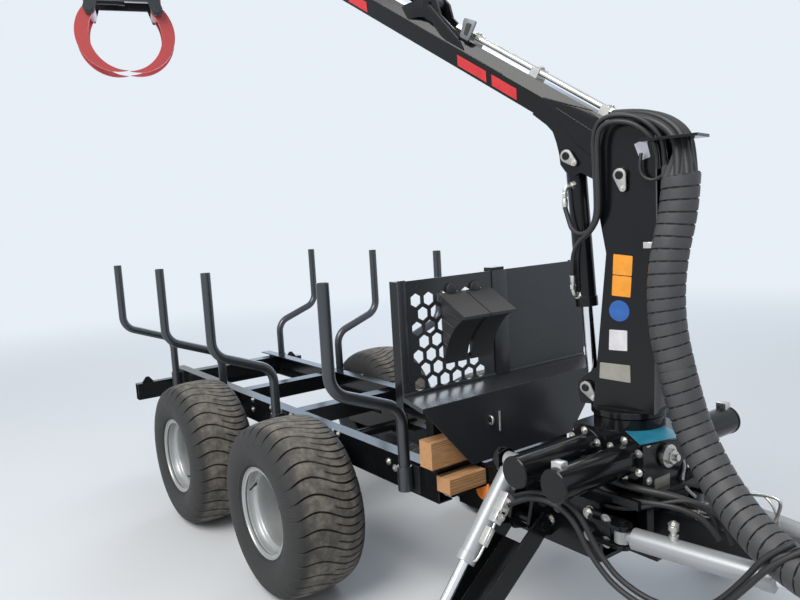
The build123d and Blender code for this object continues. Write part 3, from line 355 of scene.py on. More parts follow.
def sprayed(name, colour, worn, roughness, dust=0.35, metallic=0.0, coat=0.0, gloss=0.5):
    """Paint with orange peel, dust on top, faint streaks and worn edges."""
    finish = Finish(name, metallic=metallic, coat_weight=coat, coat_roughness=0.08, specular_ior_level=gloss)
    geometry = finish.add("NewGeometry", output="Normal")
    rounded = finish.add("Bevel", {"samples": 4}, {"Radius": EDGE_ROUND})
    bend = finish.add("VectorMath", {"operation": "DOT_PRODUCT"}, {0: geometry, 1: rounded}, output="Value")
    chips = finish.noise(55, 4, roughness=0.7).between(0.50, 0.62)
    wear = (1 - bend).between(0.05, 0.25) * chips
    clouds = finish.noise(2.6, 4).between(0.30, 0.72)
    specks = finish.noise(190, 3, roughness=0.75).between(0.46, 0.68)
    streaks = finish.noise(9, 3, stretch=(2.2, 2.2, 0.35)).between(0.52, 0.78)
    film = (finish.facing_up() * (0.35 + clouds * 0.65) + streaks * 0.22) * (0.55 + specks * 0.45) * dust
    painted = finish.mix(clouds * 0.5, colour, [channel * 1.25 for channel in colour[:3]] + [1])
    dusty = finish.mix(film, painted, DUST)
    worn_through = finish.mix(wear * 0.8, dusty, worn)
    peel = finish.noise(310, 2)
    finish.feed(base_color=worn_through, roughness=roughness + film * 0.5 + wear * 0.12 + clouds * 0.05)
    finish.relief(peel, PEEL_HEIGHT, EDGE_ROUND)
    return finish.material


BARE_STEEL = rgb(0.22, 0.20, 0.18)
RUSTED_STEEL = rgb(0.16, 0.13, 0.10)
paint = {
    "black_paint": sprayed("black_paint", rgb(0.0055, 0.006, 0.007), BARE_STEEL, 0.15, 0.06, gloss=0.30),
    "dark_paint": sprayed("dark_paint", rgb(0.027, 0.029, 0.033), BARE_STEEL, 0.24, 0.12, gloss=0.45),
    "stake_paint": sprayed("stake_paint", rgb(0.078, 0.084, 0.092), BARE_STEEL, 0.28, 0.15, metallic=0.8),
    "rim_paint": sprayed("rim_paint", rgb(0.40, 0.41, 0.41), RUSTED_STEEL, 0.34, 0.5, metallic=0.55),
    "cylinder_paint": sprayed("cylinder_paint", rgb(0.36, 0.37, 0.38), BARE_STEEL, 0.32, 0.4, metallic=0.35),
    "red_paint": sprayed("red_paint", rgb(0.42, 0.045, 0.045), BARE_STEEL, 0.26, 0.25, coat=0.4),
}
print("paints", sorted(paint))

# %% [markdown]
# ## Metal, rubber, plastic and wood
#
# Chromed rods are nearly a mirror, with fine turned lines. Zinc is duller, in a fine mottle with a warm and a cool
# tone. Rubber scatters light, so it is rough. Sawn blocks show the blade's lines along the grain and rings where the
# saw cut across it.

# %% Bright metal


def chromed():
    """Polished rod with a slight haze."""
    finish = Finish("chrome", base_color=rgb(0.80, 0.81, 0.82), metallic=1.0)
    haze = finish.noise(24, 4).between(0.35, 0.75)
    finish.feed(roughness=0.06 + haze * 0.10)
    finish.relief(finish.noise(420, 2), 0.00001, 0.0008)
    return finish.material


def zinc_plated(name, cool, warm, roughness):
    """Plated steel with a fine mottle and a little grime in patches."""
    finish = Finish(name, metallic=0.92)
    mottle = finish.noise(75, 4, roughness=0.65).between(0.32, 0.70)
    grime = finish.noise(14, 4, roughness=0.7).between(0.52, 0.74)
    colour = finish.mix(mottle, cool, warm)
    finish.feed(base_color=finish.mix(grime * 0.45, colour, rgb(0.17, 0.15, 0.12)))
    finish.feed(roughness=roughness + mottle * 0.12 + grime * 0.22)
    finish.relief(mottle, 0.00004, 0.0009)
    return finish.material


paint["chrome"] = chromed()
paint["zinc"] = zinc_plated("zinc", rgb(0.60, 0.61, 0.62), rgb(0.66, 0.62, 0.53), 0.26)

# %% Rubber, plastic and wood


def rubber(name, colour, roughness=0.52, dust=0.30):
    """Hose rubber or moulded plastic with a fine grain and dust on top."""
    finish = Finish(name)
    grain = finish.noise(650, 2)
    blotch = finish.noise(7, 4).between(0.35, 0.72)
    film = finish.facing_up() * (0.3 + blotch * 0.7) * dust
    finish.feed(base_color=finish.mix(film, colour, DUST), roughness=roughness + blotch * 0.12 + film * 0.3)
    finish.relief(grain, 0.00012, 0.0012)
    return finish.material


def sawn_wood():
    """Sawn softwood: growth rings around an axis that runs across the trailer, and lines from the blade."""
    finish = Finish("timber")
    wobble = finish.noise(5, 3, stretch=(1, 0.3, 1))
    centre = finish.add("Mapping", None, {"Vector": finish.place, "Location": (-0.44, 0, -0.50)})
    across, along, height = finish.parts(centre)
    radius = (across ** 2 + height ** 2) ** 0.5 + wobble * 0.012
    rings = (radius * 900).wave().between(-0.6, 0.9)
    blade = finish.noise(16, 3, stretch=(14, 1.2, 14)).between(0.35, 0.68)
    light = finish.mix(blade, rgb(0.50, 0.25, 0.105), rgb(0.62, 0.36, 0.17))
    finish.feed(base_color=finish.mix(rings * 0.55, light, rgb(0.30, 0.125, 0.045)))
    finish.feed(roughness=0.68 + blade * 0.15)
    finish.relief(blade * 0.6 + rings * 0.4, 0.0006, 0.002)
    return finish.material


paint["hose"] = rubber("hose", rgb(0.016, 0.016, 0.017), 0.42, 0.22)
paint["black_plastic"] = rubber("black_plastic", rgb(0.022, 0.022, 0.023), 0.46, 0.30)
paint["timber"] = sawn_wood()
print("finishes", len(paint))

# %% [markdown]
# ## Working as by hand
#
# Each piece below starts from a primitive at its real size and is shaped in edit mode. Loading leaves the model
# selected, so everything is let go first. `settle` is the end of each piece: its place goes into its mesh, its
# faces look outward, and it gets its finish and the body that it rides on.

# %% Helpers for modelling
MERGE_DISTANCE = 0.00001
SPIN_MERGE = 0.00002


def let_go():
    """Deselect everything, in object mode."""
    if bpy.context.object and bpy.context.object.mode != "OBJECT":
        bpy.ops.object.mode_set(mode="OBJECT")
    bpy.ops.object.select_all(action="DESELECT")


def pick(*things):
    """Select some objects and make the first of them active."""
    let_go()
    for thing in things:
        thing.select_set(True)
    bpy.context.view_layer.objects.active = things[0]


def apply_modifier(piece, kind, **settings):
    """Add a modifier, set it and apply it."""
    pick(piece)
    modifier = piece.modifiers.new(kind.lower(), kind)
    for key, value in settings.items():
        setattr(modifier, key, value)
    bpy.ops.object.modifier_apply(modifier=modifier.name)


def bevelled(piece, width, segments=2, angle=30):
    """Round a piece's sharp edges."""
    sharp = {"limit_method": "ANGLE", "angle_limit": radians(angle)}
    apply_modifier(piece, "BEVEL", width=width, segments=segments, **sharp)


def soften(piece, angle=30):
    """Shade curved faces smoothly and keep real edges."""
    pick(piece)
    bpy.ops.object.shade_smooth_by_angle(angle=radians(angle))


def place_in_mesh(piece):
    """Put an object's place, turn and scale into its mesh."""
    pick(piece)
    bpy.ops.object.transform_apply(location=True, rotation=True, scale=True)


def outward(piece, merge=MERGE_DISTANCE):
    """Merge doubled points and turn all faces outward."""
    pick(piece)
    bpy.ops.object.mode_set(mode="EDIT")
    bpy.ops.mesh.select_all(action="SELECT")
    bpy.ops.mesh.remove_doubles(threshold=merge)
    bpy.ops.mesh.normals_make_consistent(inside=False)
    bpy.ops.object.mode_set(mode="OBJECT")


def settle(piece, name, body, slot, finish=None, replaced=(), smooth=30):
    """Name a finished piece, give it its finish, and let it ride on its body."""
    place_in_mesh(piece)
    piece.name = name
    piece.data.materials.clear()
    piece.data.materials.append(finish or paint[slot])
    if smooth:
        soften(piece, smooth)
    let_go()
    if replaced:
        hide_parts(*replaced)
    if body:
        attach(piece, body)
    return piece


def joined(pieces_list):
    """Join several meshes into one."""
    for piece in pieces_list:
        place_in_mesh(piece)
    pick(*pieces_list)
    bpy.ops.object.join()
    return bpy.context.object


def copy_of(piece, matrix):
    """A copy with a mesh of its own, at another place."""
    twin = piece.copy()
    twin.data = piece.data.copy()
    scene.collection.objects.link(twin)
    twin.matrix_world = matrix @ piece.matrix_world
    return twin


def towards(place, direction, roll=0.0):
    """The matrix that puts a piece's origin at a place and its Z axis along a direction."""
    turn = Vector(direction).to_track_quat("Z", "Y").to_matrix().to_4x4()
    return Matrix.Translation(place) @ turn @ Matrix.Rotation(roll, 4, "Z")


def turned(profile, segments=24):
    """A turned body around Z: one point is drawn out along its radii and heights, then spun."""
    let_go()
    bpy.ops.mesh.primitive_plane_add(size=0.001)
    body = bpy.context.object
    bpy.ops.object.mode_set(mode="EDIT")
    bpy.ops.mesh.select_all(action="SELECT")
    bpy.ops.mesh.merge(type="CENTER")
    radius, height = profile[0]
    bpy.ops.transform.translate(value=(radius, 0, height))
    for (r1, h1), (r2, h2) in zip(profile, profile[1:]):
        bpy.ops.mesh.extrude_vertices_move(TRANSFORM_OT_translate={"value": (r2 - r1, 0, h2 - h1)})
    bpy.ops.mesh.select_all(action="SELECT")
    bpy.ops.mesh.spin(steps=segments, angle=tau, center=(0, 0, 0), axis=(0, 0, 1))
    outward(body, SPIN_MERGE)
    return body


def turned_at(profile, segments, place, direction):
    """A turned body that starts at a place and grows in a direction."""
    body = turned(profile, segments)
    body.matrix_world = towards(place, direction)
    return body


# %% [markdown]
# ## Tyres
#
# The flotation tyres have no bars. Narrow grooves run across the whole tread in one long wave, and on the inner
# half a short groove lies between each two. A flat grid is the easy way to draw that: its columns are set where the
# grooves' edges lie, and then the grid is wrapped around the axle, with each row at its own radius. The grooves'
# bottoms are simply points that lie deeper.

# %% Tyre sizes
WHEELBASE = 0.960
TRACK = 1.118
TYRE_RADIUS = 0.350
GROOVES = 34
GROOVE_DEPTH = 0.012
GROOVE_HALF_WIDTH = 0.0044
SHORT_GROOVE = (0.50, 0.86)
WAVE_HEIGHT = 0.027
TREAD_HALF_WIDTH = 0.140
# Half of the tyre's section, from the crown to the bead: distance from the middle, radius, share of groove depth
TYRE_SECTION = (
    (0.000, 0.3500, 1.0), (0.020, 0.3498, 1.0), (0.040, 0.3490, 1.0), (0.060, 0.3475, 1.0),
    (0.080, 0.3452, 1.0), (0.100, 0.3412, 1.0), (0.118, 0.3352, 0.9), (0.132, 0.3270, 0.7),
    (0.141, 0.3160, 0.45), (0.147, 0.3030, 0.2), (0.1515, 0.286, 0.0), (0.1545, 0.266, 0.0),
    (0.1550, 0.247, 0.0), (0.1525, 0.227, 0.0), (0.1475, 0.209, 0.0), (0.1425, 0.197, 0.0),
    (0.1420, 0.1935, 0.0), (0.1400, 0.1930, 0.0), (0.1385, 0.188, 0.0), (0.1330, 0.1845, 0.0),
    (0.1270, 0.1842, 0.0), (0.1265, 0.168, 0.0),
)


def wave_shift(across):
    """How far round a groove has moved, in metres, at a share of the way from the outer to the inner shoulder."""
    share = min(max(across, 0.0), 1.0)
    return WAVE_HEIGHT * sin(tau * (0.93 * share + 0.03)) - 0.008 * share


def tyre_columns():
    """The angles of one groove's columns, and how deep each lies for a main and for a short groove."""
    pitch = tau / GROOVES
    edge = GROOVE_HALF_WIDTH / TYRE_RADIUS
    return ((0.0, 1.0, 0.0), (edge * 0.75, 0.75, 0.0), (edge, 0.0, 0.0), (pitch * 0.25, 0.0, 0.0),
            (pitch / 2 - edge, 0.0, 0.0), (pitch / 2, 0.0, 0.8), (pitch / 2 + edge, 0.0, 0.0),
            (pitch * 0.75, 0.0, 0.0), (pitch - edge, 0.0, 0.0), (pitch - edge * 0.75, 0.75, 0.0))


def tyre_piece(centre, side):
    """One tyre, as a grid that is wrapped around its axle."""
    rows = [(-y, r, depth) for y, r, depth in reversed(TYRE_SECTION[1:])] + list(TYRE_SECTION)
    columns = tyre_columns()
    count = GROOVES * len(columns)
    let_go()
    bpy.ops.mesh.primitive_grid_add(x_subdivisions=count, y_subdivisions=len(rows) - 1, size=1)
    tyre = bpy.context.object
    for index, vertex in enumerate(tyre.data.vertices):
        row, column = divmod(index, count + 1)
        inward, radius, share = rows[row]
        angle, main, short = columns[column % len(columns)]
        angle += (column // len(columns)) * tau / GROOVES
        across = (inward + TREAD_HALF_WIDTH) / (2 * TREAD_HALF_WIDTH)
        if SHORT_GROOVE[0] < across < SHORT_GROOVE[1]:
            main = max(main, short)
        angle += wave_shift(across) / TYRE_RADIUS
        depth = radius - main * share * GROOVE_DEPTH
        vertex.co = (depth * cos(angle), -side * inward, depth * sin(angle))
    outward(tyre)
    tyre.location = centre
    return tyre


# %% Tyre rubber


def tyre_rubber(name, centre):
    """Black rubber, bleached brown-grey on the tread, painted shade in the grooves, moulded ribs near the shoulder.
    """
    finish = Finish(name)
    placed = finish.add("Mapping", None, {"Vector": finish.place, "Location": tuple(-v for v in centre)})
    along, across, height = finish.parts(placed)
    radius = (along ** 2 + height ** 2) ** 0.5
    angle = finish.angle(height, along)
    tread = radius.between(0.330, 0.347)
    groove = radius.between(0.3330, 0.3395)
    mottle = finish.noise(26, 5, roughness=0.65).between(0.30, 0.72)
    speck = finish.noise(230, 3, roughness=0.7).between(0.42, 0.70)
    bleached = finish.mix(mottle, rgb(0.125, 0.110, 0.092), rgb(0.205, 0.183, 0.152))
    side = finish.mix(mottle * 0.6 + speck * 0.25, rgb(0.016, 0.016, 0.016), rgb(0.038, 0.036, 0.033))
    worn = finish.mix(tread * (0.45 + mottle * 0.55), side, bleached)
    # Groove bottoms painted near black: partly unbleached rubber, partly painted shade in the grooves.
    dark = finish.mix((1 - groove) * tread, worn, rgb(0.012, 0.011, 0.010))
    rib_ring = radius.between(0.268, 0.276) * (1 - radius.between(0.300, 0.306))
    ribs = (angle * 150).wave().between(-0.2, 0.8) * rib_ring
    rings = (radius * 900).wave().between(0.2, 0.9) * (1 - radius.between(0.214, 0.218))
    finish.feed(base_color=dark, roughness=0.62 + mottle * 0.18 + tread * 0.08)
    finish.relief(ribs + rings * 0.8 + speck * 0.25, 0.0009)
    return finish.material


wheels = {}
for side_name, side in SIDES:
    for axle_name, axle in (("front", WHEELBASE / 2), ("rear", -WHEELBASE / 2)):
        label = f"{axle_name}_{side_name}"
        centre = Vector((BOGIE_X + axle, side * TRACK / 2, TYRE_RADIUS))
        wheels[label] = (centre, side)
        tyre = tyre_piece(centre, side)
        settle(tyre, f"tread_{label}", f"wheel_{label}", "tyre", tyre_rubber(f"rubber_{label}", centre),
               [f"tyre_{label}"], smooth=38)
print("tyre triangles", 2 * len(tyre.data.polygons))

# %% [markdown]
# ## The hose bundle
#
# Several hoses run together in one spiral guard from the crane's head down to the drawbar's holder. The guard is a
# mesh tube, because its bands have to be seen. Its line is a smooth NURBS curve on the same points as the packed
# tube, and rings are laid along points that Blender reads from that curve. The part above turns with the column and
# the part below swings with the drawbar, so the guard is made in two parts.

# %% Smooth lines and tubes


def smooth_line(name, points):
    """A NURBS curve on its control points."""
    data = bpy.data.curves.new(name, "CURVE")
    data.dimensions = "3D"
    spline = data.splines.new("NURBS")
    spline.points.add(len(points) - 1)
    for knot, place in zip(spline.points, points):
        knot.co = (*place, 1)
    spline.order_u = 3
    spline.use_endpoint_u = True
    line = bpy.data.objects.new(name, data)
    scene.collection.objects.link(line)
    return line


def read_line(line, resolution):
    """The points along a curve, as Blender evaluates it."""
    line.data.splines[0].resolution_u = resolution
    bpy.context.view_layer.update()
    shape = bpy.data.meshes.new_from_object(line)
    points = [vertex.co.copy() for vertex in shape.vertices]
    bpy.data.objects.remove(line)
    return points


def frames_along(points):
    """At each point of a line: its place, two square directions and the distance so far."""
    side = (points[1] - points[0]).orthogonal().normalized()
    distance = 0.0
    frames = []
    for index, place in enumerate(points):
        before = points[max(index - 1, 0)]
        after = points[min(index + 1, len(points) - 1)]
        along = (after - before).normalized()
        side = (side - along * side.dot(along)).normalized()
        distance += (place - before).length
        frames.append((place, side, along.cross(side), distance))
    return frames


def closed_tube(tube):
    """Join a rolled-up grid along its seam and cap both its ends."""
    pick(tube)
    bpy.ops.object.mode_set(mode="EDIT")
    bpy.ops.mesh.select_all(action="SELECT")
    bpy.ops.mesh.remove_doubles(threshold=MERGE_DISTANCE)
    bpy.ops.mesh.select_all(action="DESELECT")
    bpy.ops.mesh.select_non_manifold()
    bpy.ops.mesh.edge_face_add()
    bpy.ops.mesh.select_all(action="SELECT")
    bpy.ops.mesh.normals_make_consistent(inside=False)
    bpy.ops.object.mode_set(mode="OBJECT")
    return tube


def tube_along(name, points, radius_at, segments=24):
    """A closed tube whose radius is given by the distance along it and the angle around it."""
    frames = frames_along(points)
    let_go()
    bpy.ops.mesh.primitive_grid_add(x_subdivisions=segments, y_subdivisions=len(frames) - 1, size=1)
    tube = bpy.context.object
    tube.name = name
    for index, vertex in enumerate(tube.data.vertices):
        row, column = divmod(index, segments + 1)
        place, side, rise, distance = frames[row]
        angle = tau * column / segments
        radius = radius_at(distance, angle)
        vertex.co = place + (side * cos(angle) + rise * sin(angle)) * radius
    return closed_tube(tube)


# %% The guard around the bundle
BUNDLE_DIAMETER = 0.100
BUNDLE_CUT_Z = 1.025
GUARD_PITCH = 0.033
BUNDLE_STATIONS = (
    (1.893, -0.044, 1.632), (1.893, -0.044, 1.480), (1.868, -0.078, 1.310), (1.871, -0.092, 1.150),
    (1.908, -0.088, 0.985), (1.952, -0.087, 0.846), (2.052, -0.110, 0.714), (2.196, -0.165, 0.632),
    (2.362, -0.214, 0.606), (2.524, -0.222, 0.620), (2.668, -0.205, 0.702), (2.764, -0.180, 0.842),
    (2.790, -0.160, 1.000),
)
# One turn of the band: share of the pitch, depth below its face, and how much the hoses inside show as ribs
BAND = (
    (0.000, 0.0030, 0.0060), (0.120, 0.0030, 0.0060), (0.128, 0.0010, 0.0), (0.150, 0.0003, 0.0),
    (0.300, 0.0, 0.0), (0.800, 0.0, 0.0), (0.972, 0.0003, 0.0), (0.992, 0.0010, 0.0),
)
BAND_SIDES = 36
HOSES_INSIDE = 9
# The guard ends below the head: above it the hoses lie bare and draw together towards the cord's exit
BARE_TURNS = 2
BARE_LENGTH = 0.099
BARE_RADII = (0.012, 0.045)
LOBE_DEPTH = 0.16


def at_distance(points, distances):
    """Places along a line at growing distances, by straight steps between its points."""
    frames = frames_along(points)
    places = []
    index = 0
    for distance in distances:
        while index < len(frames) - 2 and frames[index + 1][3] < distance:
            index += 1
        start, end = frames[index], frames[index + 1]
        share = min(max((distance - start[3]) / (end[3] - start[3]), 0.0), 1.0)
        side = start[1].lerp(end[1], share).normalized()
        along = (end[0] - start[0]).normalized()
        side = (side - along * side.dot(along)).normalized()
        places.append((start[0].lerp(end[0], share), side, along.cross(side)))
    return places


def guard_tube(points, bare_turns):
    """A spiral band as a grid whose rows climb with the spiral, so that each edge of the band is one row."""
    length = frames_along(points)[-1][3]
    turns = ceil(length / GUARD_PITCH) + 1
    rows = [(turn + share - 1, depth, ribs) for turn in range(turns) for share, depth, ribs in BAND]
    let_go()
    bpy.ops.mesh.primitive_grid_add(x_subdivisions=BAND_SIDES, y_subdivisions=len(rows) - 1, size=1)
    tube = bpy.context.object
    for column in range(BAND_SIDES + 1):
        angle = tau * column / BAND_SIDES
        climb = column / BAND_SIDES
        steps = [min(max((turn + climb) * GUARD_PITCH, 0.0), length) for turn, depth, ribs in rows]
        for row, (place, side, rise) in enumerate(at_distance(points, steps)):
            turn, depth, ribs = rows[row]
            lobe = abs(sin(angle * HOSES_INSIDE / 2))
            radius = BUNDLE_DIAMETER / 2 - depth - ribs * lobe
            if turn < bare_turns:
                share = min(steps[row] / BARE_LENGTH, 1.0)
                radius = (BARE_RADII[0] + (BARE_RADII[1] - BARE_RADII[0]) * share) * (1 - LOBE_DEPTH * lobe)
            vertex = tube.data.vertices[row * (BAND_SIDES + 1) + column]
            vertex.co = place + (side * cos(angle) + rise * sin(angle)) * radius
    return closed_tube(tube)


def sleeve_finish():
    """Dull black plastic guard, grey with dust in the light."""
    finish = Finish("spiral_guard")
    blotch = finish.noise(9, 4).between(0.30, 0.72)
    specks = finish.noise(320, 3, roughness=0.7).between(0.45, 0.70)
    film = finish.facing_up() * 0.30 + blotch * 0.16 + specks * 0.10
    finish.feed(base_color=finish.mix(film, rgb(0.046, 0.046, 0.049), rgb(0.125, 0.120, 0.113)))
    finish.feed(roughness=0.40 + blotch * 0.2)
    finish.relief(specks, 0.00015)
    return finish.material


route = [Vector((BOGIE_X + station, y, z)) for station, y, z in BUNDLE_STATIONS]
line_points = read_line(smooth_line("bundle_line", route), 42)
cut = next(index for index, point in enumerate(line_points) if point.z < BUNDLE_CUT_Z)
guard_paint = sleeve_finish()
guards = {}
for part_name, points in {"upper": line_points[:cut + 1], "lower": line_points[cut:]}.items():
    guard = guard_tube(points, BARE_TURNS if part_name == "upper" else -1)
    settle(guard, f"guard_{part_name}", None, "hose", guard_paint, [f"hose_bundle_{part_name}"], smooth=35)
    near, far = ("column", "root") if part_name == "upper" else ("root", "drawbar")
    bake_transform(guard)
    guards[part_name] = (guard, points)
    print("guard", part_name, "is", round(frames_along(points)[-1][3], 3), "m long")

# %% [markdown]
# ## Couplings
#
# The bundle ends in quick couplings that stand in the holder's plate while the trailer is parked. One is turned from
# its outline, with a knurled sleeve and a collar, and the others are copies in a ring.

# %% Couplings on the holder
COUPLING = (
    (0.0, 0.0), (0.011, 0.0), (0.011, 0.010), (0.0135, 0.012), (0.0135, 0.030), (0.012, 0.032),
    (0.012, 0.035), (0.0145, 0.036), (0.0145, 0.048), (0.012, 0.050), (0.010, 0.058), (0.006, 0.058),
    (0.006, 0.050), (0.0, 0.050),
)
COUPLING_COUNT = 6
COUPLING_RING = 0.034
HOLDER_PLATE = 0.012
parked = route[-1]
park_up = (route[-1] - route[-2]).normalized()
ring_place = towards(parked + park_up * HOLDER_PLATE, park_up)
couplings = []
for index in range(COUPLING_COUNT):
    coupling = turned(COUPLING, 18)
    angle = tau * index / COUPLING_COUNT
    spot = Vector((cos(angle), sin(angle), 0)) * COUPLING_RING
    coupling.matrix_world = ring_place @ Matrix.Translation(spot)
    couplings.append(coupling)
coupling_set = settle(joined(couplings), "couplings", "drawbar", "zinc")

for part_name, (guard, points) in guards.items():
    ends = {"far_end": "object"}
    if part_name == "lower":
        ends = {"far_end": "connector", "with_pieces": [coupling_set]}
    frames_along(points)[-1][3]

# %% [markdown]
# ## Hoses over the head
#
# Between the bundle's top and the pipes on the boom, five thick hoses make a round arc. The boom's pivot lies at the
# middle of that arc, where the real hoses bend when the boom lifts. They are curves with a round section, made
# meshes.

# %% Hoses over the head


def hose_tube(name, points, diameter, body=None, finish=None, resolution=14, slot="hose"):
    """A plain round hose on a smooth line."""
    line = smooth_line(name, points)
    line.data.bevel_depth = diameter / 2
    line.data.bevel_resolution = 5
    line.data.use_fill_caps = True
    line.data.splines[0].resolution_u = resolution
    pick(line)
    bpy.ops.object.convert(target="MESH")
    tube = bpy.context.object
    outward(tube)
    return settle(tube, name, body, slot, finish, smooth=50)


HEAD_HOSE_DIAMETER = 0.024
HEAD_ARC = (
    (-0.205, 1.535), (-0.212, 1.590), (-0.196, 1.652), (-0.136, 1.700), (-0.060, 1.722), (0.014, 1.727),
)
# Each hose: reach and side at the guard's end, side at the pipes, and size of its arc about the boom's pivot
HEAD_ENDS = (
    (-0.220, -0.112, -0.042, 1.0), (-0.226, -0.090, -0.016, 1.0), (-0.220, -0.068, 0.010, 1.0),
    (-0.198, -0.054, 0.034, 0.94), (-0.198, -0.124, -0.062, 0.92),
)
for index, (start_reach, start_side, end_side, size) in enumerate(HEAD_ENDS):
    stops = [crane(start_reach, HEAD_ARC[0][1], start_side)]
    for step, (reach, z) in enumerate(HEAD_ARC[1:], 1):
        share = step / (len(HEAD_ARC) - 1)
        reach, z = (pivot + (value - pivot) * size for pivot, value in zip(BOOM_PIVOT, (reach, z)))
        stops.append(crane(reach, z, start_side + (end_side - start_side) * share))
    tube = hose_tube(f"head_hose_{index + 1}", stops, HEAD_HOSE_DIAMETER)
    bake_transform(tube)
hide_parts("head_hoses")
HEAD_RING = (
    (-0.085, 1.606, -0.086), (-0.084, 1.590, -0.090), (-0.082, 1.556, -0.090), (-0.100, 1.534, -0.090),
    (-0.126, 1.530, -0.090), (-0.152, 1.546, -0.090), (-0.157, 1.575, -0.090), (-0.150, 1.606, -0.084),
)
RING_HOSE_DIAMETER = 0.010
hose_tube("head_ring", [crane(*stop) for stop in HEAD_RING], RING_HOSE_DIAMETER, "column")

# %% [markdown]
# ## Wheels' rims
#
# The rims are pressed from sheet: a rolled edge, two steps of the bead seat and the well, and a deep, smooth disc.
# Each is spun from one outline, with the hub and its wheel nuts in the depth, and a valve that stands in the well.

# %% Rims
RIM_OUTLINE = (
    (0.1655, 0.1250), (0.1812, 0.1275), (0.1832, 0.1310), (0.1826, 0.1348), (0.1800, 0.1362),
    (0.1776, 0.1345), (0.1762, 0.1270), (0.1700, 0.1215), (0.1640, 0.1190), (0.1622, 0.1130),
    (0.1618, 0.0960), (0.1570, 0.0900), (0.1490, 0.0860), (0.1462, 0.0800), (0.1455, 0.0500),
    (0.1440, 0.0000), (0.1420, -0.0300), (0.1360, -0.0420), (0.1180, -0.0480), (0.0960, -0.0440),
    (0.0860, -0.0380), (0.0500, -0.0360), (0.0480, 0.0020), (0.0420, 0.0080), (0.0, 0.0100),
)
NUT = (
    (0.0, 0.0), (0.0115, 0.0), (0.0115, 0.012), (0.0095, 0.015), (0.006, 0.015), (0.006, 0.021), (0.0, 0.022),
)
WHEEL_NUTS = 5
NUT_RING = 0.066
VALVE = (
    (0.0, 0.0), (0.0055, 0.0), (0.0050, 0.012), (0.0036, 0.014), (0.0036, 0.034), (0.0042, 0.035),
    (0.0042, 0.044), (0.0, 0.045),
)
VALVE_ANGLE = {"front": radians(152), "rear": radians(-38)}
VALVE_RING = 0.152
VALVE_DEPTH = 0.088
NUT_DEPTH = -0.037
SHEET_STEEL = 0.0025
for label, (centre, side) in wheels.items():
    place = towards(centre, (0, side, 0))
    rim = turned(RIM_OUTLINE, 72)
    rim.matrix_world = place
    apply_modifier(rim, "SOLIDIFY", thickness=SHEET_STEEL, offset=-1)
    settle(rim, f"rim_sheet_{label}", f"wheel_{label}", "rim_paint", None, [f"rim_{label}"], smooth=50)
    nuts = []
    for index in range(WHEEL_NUTS):
        angle = tau * index / WHEEL_NUTS
        nut = turned(NUT, 6)
        seat = (NUT_RING * cos(angle), NUT_RING * sin(angle), NUT_DEPTH)
        nut.matrix_world = place @ Matrix.Translation(seat)
        nuts.append(nut)
    settle(joined(nuts), f"wheel_nuts_{label}", f"wheel_{label}", "zinc", smooth=20)
    turn = VALVE_ANGLE[label.split("_")[0]]
    foot = centre + Vector((cos(turn) * VALVE_RING, side * VALVE_DEPTH, sin(turn) * VALVE_RING))
    valve = turned_at(VALVE, 14, foot, Vector((-cos(turn) * 0.5, side * 0.85, -sin(turn) * 0.5)))
    settle(valve, f"valve_{label}", f"wheel_{label}", "black_plastic")
print("rims", len(wheels))

# %% [markdown]
# ## Bolts, plates and fittings
#
# Three small kinds of piece come back everywhere: a bolt on its washer, a plate that is cut to an outline, and a hose
# fitting. Each has one function. A hexagon is only a body that is turned in six steps.

# %% Small parts
WASHER_THICK = 0.0016


def hex_bolt(across=0.019, place=(0, 0, 0), direction=(0, 0, 1), roll=0.0, thread=0.002):
    """A washer, a hexagon with a chamfered top, and the end of its thread."""
    corner = across / 2 / cos(pi / 6)
    wide, top, tip = across * 0.86, across * 0.42, across * 0.46 + thread
    washer = turned(((0.0, 0.0), (wide, 0.0), (wide, WASHER_THICK), (0.0, WASHER_THICK)), 20)
    side = ((0.0, WASHER_THICK), (corner, WASHER_THICK), (corner, across * 0.38), (corner * 0.95, top), (0.0, top))
    head = turned(side, 6)
    radius, chamfer = across * 0.27, across * 0.22
    side = ((0.0, across * 0.4), (radius, across * 0.4), (radius, top + thread), (chamfer, tip), (0.0, tip))
    bolt = joined([washer, head, turned(side, 14)])
    bolt.matrix_world = towards(place, direction, roll)
    return bolt


def bolt_row(name, body, places, direction, across=0.019, slot="zinc"):
    """Bolts of one size: one is modelled, the rest are copies, each turned a little further."""
    pattern = hex_bolt(across)
    bolts = []
    for index, place in enumerate(places):
        bolts.append(copy_of(pattern, towards(place, direction, 0.4 * index)))
    bpy.data.objects.remove(pattern)
    return settle(joined(bolts), name, body, slot, smooth=25)


def cut_plate(outline, thickness):
    """A flat plate cut to an outline in its own XY plane, with its thickness along Z."""
    let_go()
    bpy.ops.mesh.primitive_circle_add(vertices=len(outline), fill_type="NGON")
    plate = bpy.context.object
    for vertex, (x, y) in zip(plate.data.vertices, outline):
        vertex.co = (x, y, 0)
    bpy.ops.object.mode_set(mode="EDIT")
    bpy.ops.mesh.select_all(action="SELECT")
    bpy.ops.mesh.extrude_region_move(TRANSFORM_OT_translate={"value": (0, 0, thickness)})
    bpy.ops.mesh.select_all(action="SELECT")
    bpy.ops.mesh.normals_make_consistent(inside=False)
    bpy.ops.object.mode_set(mode="OBJECT")
    return plate


def rounded(corners, radius, steps=4):
    """An outline with each of its corners rounded."""
    outline = []
    count = len(corners)
    for index in range(count):
        before, corner, after = (Vector(corners[(index + shift) % count]) for shift in (-1, 0, 1))
        start = corner + (before - corner).normalized() * radius
        end = corner + (after - corner).normalized() * radius
        for step in range(steps + 1):
            share = step / steps
            rest = 1 - share
            outline.append(tuple(start * rest ** 2 + corner * 2 * share * rest + end * share ** 2))
    return outline


def oval(width, height, count=32):
    """An ellipse as an outline."""
    return [(width / 2 * cos(tau * i / count), height / 2 * sin(tau * i / count)) for i in range(count)]


